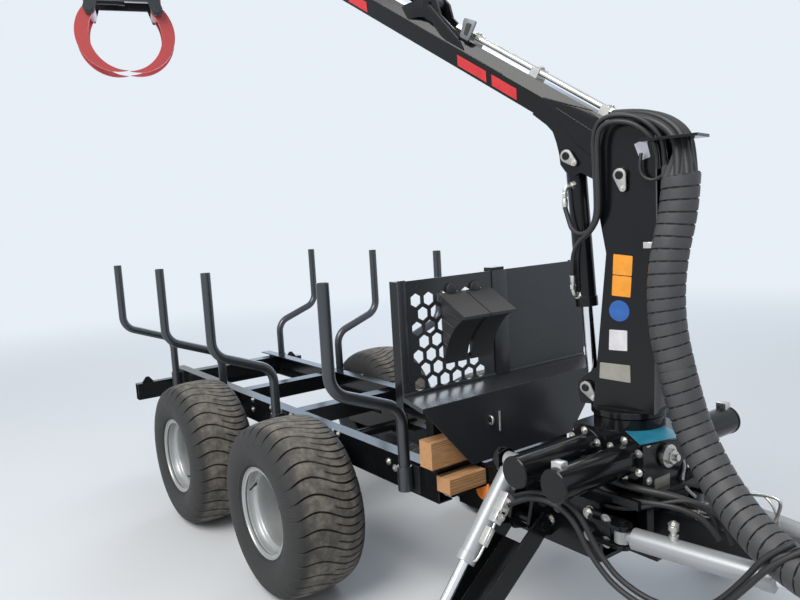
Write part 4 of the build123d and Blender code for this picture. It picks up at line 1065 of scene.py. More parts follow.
def laid(outline, thickness, origin, along, rise):
    """A flat plate in any plane, from an outline in distances along two directions from an origin."""
    plate = cut_plate(outline, thickness)
    turn = Matrix((along, rise, along.cross(rise))).transposed().to_4x4()
    plate.matrix_world = Matrix.Translation(origin) @ turn
    return plate


def on_wall(place, normal, upward):
    """The matrix of a plate that lies on a wall, with its X axis along the wall and its Y axis up."""
    out = normal.normalized()
    across = upward.cross(out).normalized()
    rise = out.cross(across)
    return Matrix.Translation(place) @ Matrix((across, rise, out)).transposed().to_4x4()


FERRULE = (
    (0.0, -0.002), (0.92, -0.002), (1.0, 0.4), (1.0, 2.4), (0.90, 2.6), (0.90, 3.0), (0.66, 3.1),
    (0.66, 3.5), (0.0, 3.5),
)
UNION_NUT = ((0.0, 3.4), (1.12, 3.4), (1.12, 4.6), (0.9, 4.9), (0.0, 4.9))


def fitting(place, direction, hose_radius):
    """A crimped sleeve and a union nut at a hose's end; the direction leads away from the hose."""
    size = hose_radius * 1.22
    sleeve = turned([(r * size, h * size) for r, h in FERRULE], 18)
    nut = turned([(r * size, h * size) for r, h in UNION_NUT], 6)
    piece = joined([sleeve, nut])
    piece.matrix_world = towards(place, direction)
    return piece


# %% [markdown]
# ## Plain coloured finishes
#
# The signs and plates on the column carry nothing here but their colour, as if new from the roll. Foil is smoother
# than paint and fades a little in the sun. The round reflector is amber plastic over a bright back.

# %% Foil and reflector


def foil(name, colour, roughness=0.34, metallic=0.0):
    """A stuck-on foil with faint fading and a few specks of dirt."""
    finish = Finish(name, metallic=metallic, coat_weight=0.25, coat_roughness=0.2)
    fade = finish.noise(30, 3).between(0.35, 0.7)
    dirt = finish.noise(240, 3, roughness=0.7).between(0.60, 0.74)
    pale = [min(channel * 1.22 + 0.012, 1) for channel in colour[:3]] + [1]
    colour_here = finish.mix(dirt * 0.5, finish.mix(fade * 0.6, colour, pale), rgb(0.10, 0.09, 0.075))
    finish.feed(base_color=colour_here, roughness=roughness + fade * 0.12)
    return finish.material


orange_foil = foil("orange_foil", rgb(0.78, 0.29, 0.012))
blue_foil = foil("blue_foil", rgb(0.012, 0.095, 0.36))
white_foil = foil("white_foil", rgb(0.62, 0.60, 0.62))
silver_plate = foil("silver_plate", rgb(0.34, 0.32, 0.27), 0.30, 0.6)
pale_plate = foil("pale_plate", rgb(0.42, 0.43, 0.47), 0.30, 0.5)
red_foil = foil("red_foil", rgb(0.62, 0.018, 0.022), 0.30)
teal_foil = foil("teal_foil", rgb(0.02, 0.20, 0.30), 0.30)
amber = foil("amber", rgb(0.80, 0.20, 0.004), 0.16)
cast_grey = foil("cast_grey", rgb(0.36, 0.36, 0.34), 0.42, 0.5)

# %% [markdown]
# ## Plates and pins on the crane's column
#
# The column's right side shows the blank plates and three light pin retainers. A retainer is a drop-shaped plate: its
# round end holds the pin, and a small bolt through its narrow end keeps both from turning.

# %% Blank plates on the column
COLUMN_SIDE = -0.0702
COLUMN_WALL = -CRANE_LEFT
FOIL = 0.0006


def beside_crane(outline, left, thickness):
    """A plate in the crane's plane, from an outline of reaches and heights, that stands out to the right."""
    return laid(outline, -thickness, crane(0, 0, left), CRANE_OUT, UP)


def beside_boom(outline, left, thickness):
    """A plate along the inner boom; a thickness below zero stands out to the right."""
    return laid(outline, thickness, along_boom(0, 0, left), BOOM_ALONG, BOOM_UP)


COLUMN_PLATES = (
    ("warning_upper", "orange", ((-0.0496, 1.3215), (0.0082, 1.3281), (0.0118, 1.2690), (-0.0455, 1.2642))),
    ("warning_lower", "orange", ((-0.0453, 1.2618), (0.0120, 1.2665), (0.0161, 1.2069), (-0.0404, 1.2022))),
    ("service_mark", "white", ((-0.0292, 1.1049), (0.0255, 1.1051), (0.0284, 1.0438), (-0.0281, 1.0445))),
    ("type_plate", "silver", ((-0.0361, 1.0024), (0.0573, 1.0037), (0.0604, 0.9552), (-0.0364, 0.9505))),
    ("head_plate", "pale", ((-0.0930, 1.6460), (-0.0590, 1.6337), (-0.0770, 1.5865), (-0.1050, 1.5950))),
)
foils = {"orange": orange_foil, "white": white_foil, "silver": silver_plate, "pale": pale_plate}
for name, colour, corners in COLUMN_PLATES:
    plate = beside_crane(rounded(corners, 0.003), COLUMN_SIDE, FOIL)
    settle(plate, name, "column", "cylinder_paint", foils[colour], smooth=0)
round_mark = beside_crane([(x - 0.006, y + 1.162) for x, y in oval(0.062, 0.062, 40)], COLUMN_SIDE, FOIL)
settle(round_mark, "round_mark", "column", "cylinder_paint", blue_foil, smooth=0)

# %% Pin retainers


def drop_outline(big, small, length):
    """Two circles of different size in one hull, the small one below."""
    lean = (big - small) / length
    turn = atan2(lean, (1 - lean * lean) ** 0.5)
    upper = [-turn + (pi + 2 * turn) * i / 16 for i in range(17)]
    lower = [pi + turn + (pi - 2 * turn) * i / 10 for i in range(11)]
    top = [(big * cos(a), big * sin(a)) for a in upper]
    return top + [(small * cos(a), small * sin(a) - length) for a in lower]


def pin_retainer(name, body, pin, tail, left, big=0.019, small=0.010):
    """A drop-shaped plate from a pin's reach and height towards a bolt's, on the crane's right side."""
    start = crane(*pin, left)
    fall = crane(*tail, left) - start
    drop = cut_plate(drop_outline(big, small, fall.length), 0.007)
    drop.matrix_world = on_wall(start, COLUMN_WALL, -fall)
    bevelled(drop, 0.0012)
    head = ((0.0, 0.0), (big * 0.62, 0.0), (big * 0.62, 0.009), (big * 0.5, 0.0105), (0.0, 0.0105))
    pin_end = turned_at(head, 24, start, COLUMN_WALL)
    bolt = hex_bolt(0.010, start + fall + COLUMN_WALL * 0.006, COLUMN_WALL)
    settle(drop, f"{name}_retainer", body, "zinc", cast_grey, smooth=25)
    settle(pin_end, f"{name}_pin_end", body, "black_paint")
    settle(bolt, f"{name}_bolt", body, "zinc", smooth=20)


LIFT_TOP = (0.1574, 1.6219)
pin_retainer("pivot", "column", BOOM_PIVOT, (-0.029, 1.514), -0.0785)
pin_retainer("lift_top", "inner_boom", LIFT_TOP, (0.1330, 1.5995), -0.0535)
pin_retainer("lift_foot", "column", (0.115, 0.916), (0.0905, 0.8860), -0.0485)

# %% [markdown]
# ## Hoses and fittings of the lift cylinder
#
# Two thin hoses follow the thick ones over the column's head, run down its right side, and end in the lift
# cylinder's two ports. On the real crane the arc bends with the boom and the loop below bends between boom and
# cylinder, so each hose is made of two lengths that meet beside the boom's root.

# %% Lift hoses
LIFT_HOSE_DIAMETER = 0.0145
LIFT_ARC = (
    (-0.150, 1.540, -0.085), (-0.153, 1.608, -0.092), (-0.140, 1.655, -0.098), (-0.093, 1.700, -0.104),
    (-0.038, 1.716, -0.106), (0.012, 1.714, -0.106), (0.044, 1.690, -0.104), (0.0490, 1.640, -0.100),
)
LIFT_LOOP = (
    (0.0490, 1.640, -0.100), (0.0475, 1.580, -0.098), (0.0460, 1.500, -0.096), (0.0480, 1.440, -0.094),
    (0.0700, 1.398, -0.088), (0.1090, 1.384, -0.076), (0.1430, 1.402, -0.062), (0.1560, 1.430, -0.054),
    (0.1700, 1.470, -0.050),
)
LOWER_ARC = (
    (-0.130, 1.560, -0.086), (-0.133, 1.610, -0.094), (-0.118, 1.650, -0.104), (-0.078, 1.686, -0.112),
    (-0.034, 1.698, -0.114), (0.004, 1.696, -0.114), (0.030, 1.676, -0.112), (0.0330, 1.632, -0.110),
)
LOWER_RUN = (
    (0.0330, 1.632, -0.110), (0.0335, 1.560, -0.108), (0.0335, 1.480, -0.104), (0.0380, 1.438, -0.100),
    (0.0640, 1.398, -0.092), (0.1080, 1.370, -0.078), (0.1380, 1.336, -0.064), (0.1480, 1.290, -0.055),
    (0.1500, 1.262, -0.052),
)
LIFT_HOSES = (
    ("lift_hose_arc", LIFT_ARC, "column", "inner_boom"),
    ("lift_hose_loop", LIFT_LOOP, "inner_boom", "lift_barrel"),
    ("lower_hose_arc", LOWER_ARC, "column", "inner_boom"),
    ("lower_hose_run", LOWER_RUN, "inner_boom", "lift_barrel"),
)
for name, stops, near, far in LIFT_HOSES:
    places = [crane(*stop) for stop in stops]
    tube = hose_tube(name, places, LIFT_HOSE_DIAMETER)
    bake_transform(tube)

ELBOW_NUT = ((0.0, 0.0), (0.0125, 0.0), (0.0125, 0.012), (0.0, 0.012))
LIFT_PORTS = (((0.1700, 1.470, -0.050), (0.0015, 1.0, 0.03)), ((0.1500, 1.262, -0.052), (0.0, -1.0, 0.05)))
for index, (end, (reach, rise, inward)) in enumerate(LIFT_PORTS):
    start = crane(*end)
    away = (CRANE_OUT * reach + UP * rise + CRANE_LEFT * inward).normalized()
    union = fitting(start, away, LIFT_HOSE_DIAMETER / 2)
    foot = start + away * 0.040
    to_barrel = crane(0.135, foot.z + (0.018 if rise > 0 else -0.018), -0.010) - foot
    bend = [foot, foot + away * 0.018, foot + away * 0.018 + to_barrel * 0.35, foot + away * 0.006 + to_barrel]
    elbow = hose_tube(f"lift_elbow_{index}", bend, 0.015, None, paint["zinc"], 10, "zinc")
    nut = turned_at(ELBOW_NUT, 6, foot + away * 0.016 + to_barrel * 0.42, to_barrel)
    settle(joined([union, elbow, nut]), f"lift_port_{index}", "lift_barrel", "zinc", smooth=30)

# %% [markdown]
# ## Red stripes, seams and doublers on the boom
#
# Plain red stripes lie on the lower slope of the boom's side. Doubler plates stiffen the boom's root, with a weld
# bead along each edge. A bead is a thin tube that wavers like a hand-laid seam.

# %% Stripes on the boom's side
BOOM_EDGE = (0.030, 0.016)
BOOM_WAIST = (0.050, 0.072)


def boom_slope(above, gap=0.0006):
    """How far right of the boom's middle its lower slope lies at a height above the pivot's line."""
    share = (above - BOOM_EDGE[1]) / (BOOM_WAIST[1] - BOOM_EDGE[1])
    return -(BOOM_EDGE[0] + (BOOM_WAIST[0] - BOOM_EDGE[0]) * share) - gap


STRIPES = ((0.440, 0.560), (0.572, 0.716), (1.170, 1.290), (1.302, 1.440))
STRIPE_LOW, STRIPE_HIGH = 0.0245, 0.0560
stripe_foot = along_boom(0, STRIPE_LOW, boom_slope(STRIPE_LOW))
up_slope = along_boom(0, STRIPE_HIGH, boom_slope(STRIPE_HIGH)) - stripe_foot
for number, (start, end) in enumerate(STRIPES):
    slanted = ((start, 0), (end - 0.012, 0), (end, up_slope.length), (start + 0.012, up_slope.length))
    stripe = laid(slanted, -FOIL, stripe_foot, BOOM_ALONG, up_slope.normalized())
    settle(stripe, f"stripe_{number + 1}", "inner_boom", "red_paint", red_foil, smooth=0)

# %% Weld beads and doubler plates


def weld_bead(name, points, body, radius=0.003, slot="black_paint"):
    """A thin seam along some points, thicker and thinner by turns."""
    dense = []
    for start, end in zip(points, points[1:]):
        steps = max(int((end - start).length / 0.004), 1)
        dense += [start.lerp(end, step / steps) for step in range(steps)]
    dense.append(points[-1])
    seam = tube_along(name, dense, lambda distance, angle: radius * (1 + 0.16 * sin(distance * 1150)), 8)
    return settle(seam, name, body, slot, smooth=60)


BOOM_SIDE = 0.0462
DOUBLER_THICK = 0.005
DOUBLER = (
    (0.350, 0.073), (0.306, 0.054), (0.174, 0.006), (0.120, 0.000), (0.060, 0.020), (0.060, 0.098),
    (0.190, 0.104),
)
for side_name, side in SIDES:
    face = side * BOOM_SIDE
    doubler = beside_boom(DOUBLER, face, side * DOUBLER_THICK)
    bevelled(doubler, 0.0012)
    settle(doubler, f"root_doubler_{side_name}", "inner_boom", "black_paint", smooth=25)
    edge = [along_boom(x, y, face + side * 0.001) for x, y in DOUBLER[:4]]
    weld_bead(f"root_seam_{side_name}", edge, "inner_boom")
    rib_ends = [along_boom(x, y, face + side * DOUBLER_THICK) for x, y in ((0.292, 0.066), (0.140, 0.060))]
    weld_bead(f"root_rib_{side_name}", rib_ends, "inner_boom", 0.0025)

# %% [markdown]
# ## Slewing unit
#
# Two pairs of tubes cross the housing. Each tube leaves it through a flange with six bolts and ends in a cap. The
# housing's front carries a large adjusting bolt and a blank plate, its top a cover with a coloured label, and the
# two front tubes carry a port each.

# %% Slewing unit
HOUSING_SIDE = 0.110
HOUSING_FRONT = 1.077
HOUSING_TOP = 0.8095
COVER_THICK = 0.003
LABEL_HEIGHT = 0.8125
TUBE_END = 0.420
TUBE_AXES = ((0.880, 0.740), (1.024, 0.740))
TUBE_FLANGE = ((0.0, 0.0), (0.064, 0.0), (0.0655, 0.0015), (0.0655, 0.011), (0.064, 0.0125), (0.0, 0.0125))
TUBE_CAP = ((0.0, 0.0), (0.0462, 0.0), (0.0470, 0.001), (0.0470, 0.006), (0.0440, 0.0095), (0.0, 0.0095))
FLANGE_BOLTS = 6
BOLT_RING = 0.0555
flange_parts, flange_bolts = [], []
for side in (-1, 1):
    for x, z in TUBE_AXES:
        for profile, y in ((TUBE_FLANGE, HOUSING_SIDE), (TUBE_CAP, TUBE_END - 0.004)):
            flange_parts.append(turned_at(profile, 40, (x, side * y, z), (0, side, 0)))
        for index in range(FLANGE_BOLTS):
            angle = tau * (index + 0.5) / FLANGE_BOLTS
            spot_x, spot_z = x + BOLT_RING * cos(angle), z + BOLT_RING * sin(angle)
            place = (spot_x, side * (HOUSING_SIDE + 0.012), spot_z)
            flange_bolts.append(hex_bolt(0.014, place, (0, side, 0), 0.5 * index))
settle(joined(flange_parts), "slew_flanges", "root", "black_paint", smooth=35)
settle(joined(flange_bolts), "slew_flange_bolts", "root", "zinc", smooth=25)

adjuster = hex_bolt(0.040, (HOUSING_FRONT + 0.012, 0.001, 0.735), FORWARD, 0.3, 0.012)
COLLAR = ((0.0, 0.0), (0.031, 0.0), (0.031, 0.004), (0.027, 0.005), (0.027, 0.012), (0.0, 0.012))
collar = turned_at(COLLAR, 28, (HOUSING_FRONT, 0.001, 0.735), FORWARD)
settle(joined([adjuster, collar]), "slew_adjuster", "root", "zinc", smooth=25)
plate_shape = rounded(((-0.037, -0.016), (0.037, -0.016), (0.037, 0.016), (-0.037, 0.016)), 0.002)
type_plate = laid(plate_shape, 0.001, (HOUSING_FRONT, -0.020, 0.660), LEFTWARD, UP)
settle(type_plate, "slew_type_plate", "root", "cylinder_paint", silver_plate, smooth=0)
cover_shape = rounded(((0.990, -0.100), (1.114, -0.180), (1.160, -0.018), (1.030, 0.052)), 0.008)
cover = laid(cover_shape, COVER_THICK, (0, 0, HOUSING_TOP), FORWARD, LEFTWARD)
settle(cover, "slew_cover", "root", "black_paint", smooth=25)
label_shape = ((0.997, -0.086), (1.110, -0.167), (1.150, -0.020), (1.031, 0.041))
teal_label = laid(label_shape, FOIL, (0, 0, LABEL_HEIGHT), FORWARD, LEFTWARD)
settle(teal_label, "slew_label", "root", "cylinder_paint", teal_foil, smooth=0)
PORT_FOOT = ((-0.017, -0.014), (0.017, -0.014), (0.017, 0.014), (-0.017, 0.014))
front_bolts = ((HOUSING_FRONT, -0.084, 0.679), (HOUSING_FRONT, 0.084, 0.790), (HOUSING_FRONT, -0.084, 0.790))
bolt_row("slew_front_bolts", "root", front_bolts, FORWARD, 0.014)
for side_name, side in SIDES:
    front_x, front_z = TUBE_AXES[1]
    port = laid(PORT_FOOT, 0.024, (front_x, side * 0.398, front_z + 0.040), FORWARD, LEFTWARD)
    bevelled(port, 0.0015)
    settle(port, f"slew_port_{side_name}", "root", "zinc", smooth=25)

# %% [markdown]
# ## Round bar and hard lines
#
# Bent wire, rods and hard lines are all one kind of piece: a thin round tube on a line of a few points.

# %% Bent rods
RODS = (
    (
        "slew_lever", "root", "cylinder_paint", 0.010,
        (
            (1.070, 0.093, 0.700), (1.082, 0.090, 0.684), (1.085, 0.067, 0.645), (1.102, 0.061, 0.621),
            (1.140, 0.050, 0.612),
        ),
    ),
    (
        "drawbar_lever", "drawbar", "zinc", 0.008,
        ((1.130, -0.030, 0.594), (1.180, -0.028, 0.602), (1.236, -0.022, 0.612)),
    ),
    (
        "holder_wire_right", "drawbar", "zinc", 0.009,
        (
            (1.200, -0.040, 0.588), (1.205, -0.045, 0.640), (1.328, -0.050, 0.701), (1.380, -0.050, 0.716),
            (1.430, -0.050, 0.721), (1.436, -0.050, 0.700), (1.412, -0.050, 0.631), (1.405, -0.048, 0.588),
        ),
    ),
    (
        "holder_wire_left", "drawbar", "zinc", 0.008,
        (
            (1.189, 0.046, 0.588), (1.200, 0.045, 0.676), (1.278, 0.040, 0.655), (1.342, 0.035, 0.691),
            (1.389, 0.030, 0.647), (1.392, 0.030, 0.588),
        ),
    ),
    (
        "latch_rod_right", "root", "zinc", 0.008,
        ((0.508, -0.120, 0.715), (0.508, -0.120, 0.752), (0.508, -0.120, 0.785)),
    ),
    (
        "board_hook_right", "root", "zinc", 0.008,
        (
            (0.506, -0.164, 0.776), (0.520, -0.164, 0.776), (0.522, -0.164, 0.760), (0.516, -0.164, 0.746),
            (0.506, -0.164, 0.750),
        ),
    ),
)
for name, body, slot, diameter, points in RODS:
    hose_tube(name, [Vector(point) for point in points], diameter, body, paint[slot], 10, slot)

# %% [markdown]
# ## Legs: fittings and hoses
#
# Each leg's cylinder has a safety block with its ports, a hard line to its lower end, and a pair of hoses that arch
# forward over the neck's side. The pair starts on the trailer's root and bends over to the drawbar. All points are
# given for the right side, and `on_side` moves them to either one.

# %% Leg fittings
LEG_EYE_X = 0.757
LEG_TOP = Vector((LEG_EYE_X, -0.304, 0.715))
LEG_ROD_EYE = Vector((LEG_EYE_X, -0.680, 0.275))
LEG_ALONG = (LEG_ROD_EYE - LEG_TOP).normalized()
EYE_CAP = (
    (0.0, 0.0), (0.030, 0.0), (0.032, 0.002), (0.032, 0.010), (0.026, 0.014), (0.020, 0.014),
    (0.020, 0.020), (0.0, 0.021),
)


def beside_leg(distance, forward):
    """A point by its distance down the right leg's cylinder, and forward of its axis."""
    return LEG_TOP + LEG_ALONG * distance + FORWARD * forward


def on_side(point, side):
    """A point or direction that was given for the right side, on the side asked for."""
    return Vector((point[0], -side * point[1], point[2]))


def block(size, place, along, rise, width=0.0015):
    """A box of a given size, turned to two directions, with its edges rounded."""
    length, depth, height = size
    corners = [(length / 2 * x, depth / 2 * y) for x, y in ((-1, -1), (1, -1), (1, 1), (-1, 1))]
    box = laid(corners, height, place, Vector(along), Vector(rise))
    bevelled(box, width)
    return box


LEG_HARD_LINE = (
    (0.190, 0.040), (0.215, 0.044), (0.245, 0.044), (0.270, 0.042), (0.300, 0.042), (0.318, 0.036),
    (0.322, 0.018),
)
LEG_HOSES = (
    (
        (0.792, -0.352, 0.622), (0.855, -0.352, 0.656), (0.915, -0.350, 0.671), (0.972, -0.345, 0.670),
        (1.015, -0.340, 0.656), (1.048, -0.335, 0.622), (1.072, -0.330, 0.576), (1.102, -0.325, 0.534),
        (1.150, -0.318, 0.490), (1.225, -0.300, 0.458), (1.300, -0.275, 0.454), (1.370, -0.255, 0.484),
        (1.440, -0.240, 0.572), (1.490, -0.225, 0.655), (1.540, -0.200, 0.690),
    ),
    (
        (0.790, -0.386, 0.600), (0.850, -0.372, 0.640), (0.912, -0.364, 0.658), (0.968, -0.360, 0.656),
        (1.008, -0.355, 0.641), (1.040, -0.350, 0.606), (1.064, -0.345, 0.560), (1.096, -0.340, 0.518),
        (1.146, -0.333, 0.474), (1.226, -0.315, 0.442), (1.304, -0.290, 0.438), (1.378, -0.270, 0.470),
        (1.450, -0.254, 0.560), (1.506, -0.235, 0.640), (1.556, -0.206, 0.676),
    ),
)
LEG_HOSE_DIAMETER = 0.0155
BLOCK_FORWARD = 0.024
SCREW_FORWARD = 0.053
EYE_HALF_WIDTH = 0.046
LEG_BOLTS = ((0.786, -0.311, 0.680), (0.786, -0.336, 0.649), (0.786, -0.365, 0.631))
LEG_BLOCKS = ((0.130, (0.060, 0.036, 0.030)), (0.176, (0.036, 0.032, 0.026)), (0.238, (0.056, 0.022, 0.022)))
for side_name, side in SIDES:
    barrel = f"leg_barrel_{side_name}"
    down = on_side(LEG_ALONG, side)
    bright = []
    for distance, size in LEG_BLOCKS:
        place = on_side(beside_leg(distance, BLOCK_FORWARD), side)
        bright.append(block(size, place, down, FORWARD.cross(down)))
    for distance in (0.118, 0.146, 0.170):
        place = on_side(beside_leg(distance, SCREW_FORWARD), side)
        bright.append(hex_bolt(0.018, place, FORWARD, distance * 9))
    for hose in LEG_HOSES:
        first, second = (on_side(point, side) for point in hose[:2])
        away = (first - second).normalized()
        bright.append(fitting(first - away * 0.004, away, LEG_HOSE_DIAMETER / 2))
    for bolt in LEG_BOLTS:
        bright.append(hex_bolt(0.013, on_side(bolt, side), FORWARD, bolt[2] * 20))
    settle(joined(bright), f"leg_fittings_{side_name}", barrel, "zinc", smooth=30)
    line = [on_side(beside_leg(distance, forward), side) for distance, forward in LEG_HARD_LINE]
    hose_tube(f"leg_hard_line_{side_name}", line, 0.008, barrel, paint["zinc"], 8, "zinc")
    caps = []
    for direction in (-1, 1):
        eye = on_side((LEG_EYE_X + direction * EYE_HALF_WIDTH, LEG_TOP.y, LEG_TOP.z), side)
        caps.append(turned_at(EYE_CAP, 28, eye, (direction, 0, 0)))
    settle(joined(caps), f"leg_pin_caps_{side_name}", "root", "black_paint", smooth=30)
    for number, hose in enumerate(LEG_HOSES):
        points = [on_side(point, side) for point in hose]
        tube = hose_tube(f"leg_hose_{side_name}_{number + 1}", points, LEG_HOSE_DIAMETER)
        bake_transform(tube)

# %% [markdown]
# ## Neck, rails and steering
#
# Bolts stand in rows along the rails and round the steering bracket. An amber reflector sits on each side of the
# neck, and each steering cylinder has a banjo union at both ends.

# %% Rail and neck bolts
RAIL_FACE = 0.330
RAIL_BOLTS = (
    (-1.066, 0.589), (-1.0715, 0.5375), (-0.860, 0.585), (-0.810, 0.586), (-0.754, 0.587), (-0.658, 0.587),
    (-0.330, 0.588), (-0.285, 0.588), (-0.240, 0.588), (0.120, 0.560), (0.160, 0.545), (0.200, 0.530),
)
NECK_BOLTS = ((0.744, 0.538), (0.802, 0.511), (0.833, 0.560), (0.960, 0.586))
BRACKET_PLATE = ((0.945, 0.502), (1.038, 0.502), (1.038, 0.598), (0.945, 0.598))
BRACKET_BOLTS = ((0.960, 0.583), (1.024, 0.583), (0.960, 0.517), (1.024, 0.517))
BRACKET_FACE = 0.211
BRACKET_BACK = 0.199
NECK_FACE = 0.200
for side_name, side in SIDES:
    places = [(x, side * RAIL_FACE, z) for x, z in RAIL_BOLTS]
    bolt_row(f"rail_bolts_{side_name}", "root", places, (0, side, 0), 0.017)
    places = [(x, side * NECK_FACE, z) for x, z in NECK_BOLTS]
    places += [(x, side * BRACKET_FACE, z) for x, z in BRACKET_BOLTS]
    bolt_row(f"neck_bolts_{side_name}", "root", places, (0, side, 0), 0.020)
    thickness = BRACKET_FACE - BRACKET_BACK
    plate = laid(rounded(BRACKET_PLATE, 0.010), -side * thickness, (0, side * BRACKET_BACK, 0), FORWARD, UP)
    bevelled(plate, 0.0015)
    settle(plate, f"steer_plate_{side_name}", "root", "black_paint", smooth=25)

# %% Reflectors and steering fittings
STEER_EYE = (1.072, 0.200)
STEER_TAPER = 0.16
REFLECTOR = ((0.0, 0.0), (0.036, 0.0), (0.036, 0.004), (0.0345, 0.0065), (0.030, 0.0085), (0.0, 0.0095))
BANJO_STEM = (
    (0.0, 0.0), (0.013, 0.0), (0.013, 0.014), (0.009, 0.016), (0.009, 0.026), (0.014, 0.028), (0.014, 0.040),
    (0.010, 0.044), (0.0, 0.044),
)
for side_name, side in SIDES:
    lens = turned_at(REFLECTOR, 40, (0.501, side * NECK_FACE, 0.522), (0, side, 0))
    settle(lens, f"reflector_{side_name}", "root", "red_paint", amber)
    banjos = []
    for x in (1.217, 1.428):
        inward = STEER_EYE[1] - (x - STEER_EYE[0]) * STEER_TAPER
        foot = Vector((x, side * inward, 0.578))
        stem = turned(BANJO_STEM, 18)
        stem.matrix_world = Matrix.Translation(foot)
        banjos += [stem, hex_bolt(0.017, foot + UP * 0.044, UP, x * 9)]
    settle(joined(banjos), f"steer_fittings_{side_name}", f"steer_barrel_{side_name}", "zinc", smooth=30)

DRAWBAR_KNOB = (
    (0.0, 0.0), (0.006, 0.0), (0.006, 0.010), (0.014, 0.014), (0.016, 0.022), (0.013, 0.030), (0.0, 0.033),
)
knob = turned_at(DRAWBAR_KNOB, 20, (1.234, -0.002, 0.586), UP)
settle(knob, "drawbar_knob", "drawbar", "red_paint", smooth=40)
link_centre = Vector((1.204, -0.002, 0.590))
turns = [tau * i / 12 for i in range(13)]
link_points = [link_centre + Vector((0.016 * cos(turn), 0.011 * sin(turn), 0)) for turn in turns]
hose_tube("knob_link", link_points, 0.005, "drawbar", paint["zinc"], 6, "zinc")

# %% [markdown]
# ## Hoses behind the slewing unit
#
# Thin and thick hoses sag between the slewing unit and the bundle's foot. They leave the trailer's root and end on
# the drawbar, so on the real trailer they bend with the steering.

# %% Hoses behind the slewing unit
LOW_HOSES = (
    (0.012, ((0.890, -0.150, 0.655), (0.930, -0.165, 0.615), (0.985, -0.170, 0.598), (1.078, -0.160, 0.616),
             (1.150, -0.134, 0.648), (1.215, -0.100, 0.668), (1.262, -0.070, 0.640), (1.275, -0.060, 0.586))),
    (0.021, ((0.900, -0.135, 0.690), (0.985, -0.140, 0.668), (1.088, -0.140, 0.672), (1.160, -0.110, 0.668),
             (1.230, -0.075, 0.650), (1.290, -0.050, 0.620), (1.310, -0.045, 0.556))),
    (0.016, ((0.905, -0.150, 0.665), (0.965, -0.156, 0.642), (1.060, -0.155, 0.634), (1.130, -0.144, 0.646),
             (1.200, -0.112, 0.642), (1.262, -0.082, 0.612), (1.290, -0.080, 0.570))),
    (0.016, ((0.905, 0.150, 0.665), (0.985, 0.160, 0.640), (1.078, 0.158, 0.640), (1.150, 0.130, 0.650),
             (1.230, 0.090, 0.640), (1.290, 0.060, 0.610), (1.300, 0.050, 0.586))),
)
for number, (diameter, hose) in enumerate(LOW_HOSES):
    points = [Vector(point) for point in hose]
    tube = hose_tube(f"low_hose_{number + 1}", points, diameter)
    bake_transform(tube)

# %% [markdown]
# ## Boom: pipe clamps, fold bracket and hose guide
#
# The pipes on the boom are held by screwed clamps. The fold cylinder's bracket is an arched plate with a window, and
# beside it stands a slotted guide for the hoses; its slot is a thin black sheet of painted shade, not a hole.

# %% Boom details
ARCH = (
    (1.015, 0.100), (0.983, 0.118), (0.950, 0.152), (0.900, 0.152), (0.860, 0.140), (0.810, 0.124),
    (0.740, 0.105), (0.676, 0.069), (0.757, 0.072), (0.811, 0.083), (0.860, 0.104), (0.898, 0.109),
    (0.930, 0.098), (0.965, 0.074),
)
PIPE_CLAMPS = (0.160, 0.430, 0.700)
for side_name, side in SIDES:
    arch = beside_boom(ARCH, side * 0.0412, side * 0.006)
    bevelled(arch, 0.001)
    settle(arch, f"fold_arch_{side_name}", "inner_boom", "black_paint", smooth=25)
clamp_bolts = [along_boom(distance, 0.136, left) for distance in PIPE_CLAMPS for left in (-0.004, 0.012)]
bolt_row("pipe_clamp_bolts", "inner_boom", clamp_bolts, BOOM_UP, 0.012)
guide = rounded(((0.690, 0.110), (0.730, 0.110), (0.742, 0.168), (0.690, 0.176)), 0.008)
slot_window = beside_boom(guide, -0.052, 0.006)
bevelled(slot_window, 0.001)
guide_grey = foil("guide_grey", rgb(0.15, 0.155, 0.165), 0.4, 0.4)
settle(slot_window, "hose_guide", "inner_boom", "cylinder_paint", guide_grey, smooth=25)
# The slot is not cut: a thin black sheet in its outline is painted shade where the hole would be.
slot_shade_outline = rounded(((0.702, 0.122), (0.718, 0.122), (0.724, 0.158), (0.702, 0.162)), 0.006)
settle(beside_boom(slot_shade_outline, -0.0521, -FOIL), "hose_guide_slot_shade", "inner_boom", "black_plastic", smooth=0)
SEAMS = (((0.3485, 0.0735), (0.1907, 0.1073)), ((0.520, 0.073), (1.540, 0.073)))
for number, (start, end) in enumerate(SEAMS):
    ends = [along_boom(x, y, -0.0502 + (0.02 if y > 0.1 else 0)) for x, y in (start, end)]
    weld_bead(f"boom_seam_{number + 1}", ends, "inner_boom", 0.0018)
PIPE_HEIGHT = 0.128
run = 0.030
unions = []
for left, radius in ((-0.016, 0.013), (0.004, 0.010), (0.018, 0.010)):
    shape = ((0.0, 0.0), (radius, 0.0), (radius, run), (radius * 0.8, run + 0.003), (0.0, run + 0.003))
    for distance in (0.115, 0.745):
        unions.append(turned_at(shape, 6, along_boom(distance, PIPE_HEIGHT, left), BOOM_ALONG))
settle(joined(unions), "pipe_unions", "inner_boom", "zinc", smooth=25)

# %% [markdown]
# ## Small things on the headboard and the column
#
# The right panel has two turned knobs above the control box, whose covers are stiffened by ribs on their right side.
# Thin strips close the gaps between and below the panels, and a small clamp sits on the column's side.

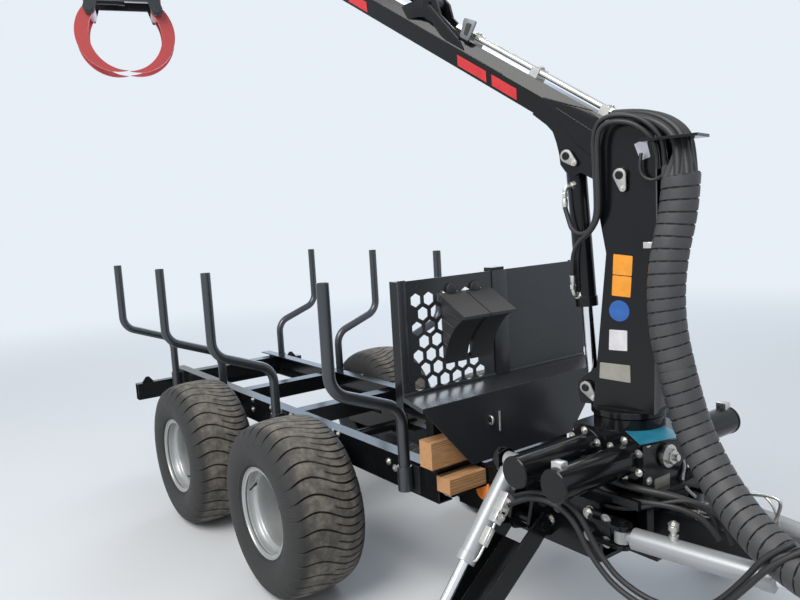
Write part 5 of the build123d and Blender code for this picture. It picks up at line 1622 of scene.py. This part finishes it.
# %% Headboard and column details
BOARD_FACE = 0.406
KNOB = ((0.0, 0.0), (0.019, 0.0), (0.022, 0.003), (0.021, 0.009), (0.016, 0.012), (0.0, 0.012))
knobs = []
for y, z in ((-0.228, 1.214), (-0.120, 1.211)):
    knobs.append(turned_at(KNOB, 20, (BOARD_FACE, y, z), FORWARD))
settle(joined(knobs), "board_knobs", "root", "black_plastic", smooth=40)
RIBS = (
    ((0.412, 1.150), (0.500, 1.122)), ((0.412, 1.115), (0.470, 1.090)), ((0.412, 1.080), (0.450, 1.058)),
    ((0.412, 1.040), (0.432, 1.026)),
)
COVER_SIDE = -0.2735
for number, ends in enumerate(RIBS):
    stops = [Vector((x, COVER_SIDE, z)) for x, z in ends]
    weld_bead(f"cover_rib_{number + 1}", stops, "root", 0.0028, "black_plastic")
flange = block((0.032, 0.385, 0.0035), (BOARD_FACE - 0.001, -0.4345, 1.071), LEFTWARD, UP, 0.001)
settle(flange, "board_flange_right", "root", "dark_paint", smooth=25)
post_strip = block((0.380, 0.070, 0.005), (0.4115, 0.0, 1.070), UP, LEFTWARD, 0.001)
foot_strip = block((0.900, 0.014, 0.004), (0.4055, 0.0, 0.8835), LEFTWARD, UP, 0.001)
settle(joined([post_strip, foot_strip]), "board_strips", "root", "dark_paint", smooth=25)
clamp = block((0.030, 0.018, 0.020), crane(-0.095, 1.352, -0.071), CRANE_OUT, UP)
settle(clamp, "column_clamp", "column", "zinc", smooth=25)

# %% [markdown]
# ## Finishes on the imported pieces
#
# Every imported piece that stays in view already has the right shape. Its material slot is filled with the finish of
# the same name, its round faces are shaded smoothly, and a split at each sharp edge keeps flat faces flat.

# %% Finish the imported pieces
SHARP_ANGLE = radians(28)
PACKED_MERGE = 0.00002
for name, node in nodes.items():
    slot_name = node.data.materials[0].name
    if slot_name in paint:
        node.data.materials[0] = paint[slot_name]
    node.data.polygons.foreach_set("use_smooth", [True] * len(node.data.polygons))
    weld = node.modifiers.new("weld", "WELD")
    weld.merge_threshold = PACKED_MERGE
    split = node.modifiers.new("split", "EDGE_SPLIT")
    split.split_angle = SHARP_ANGLE
    split.use_edge_sharp = False
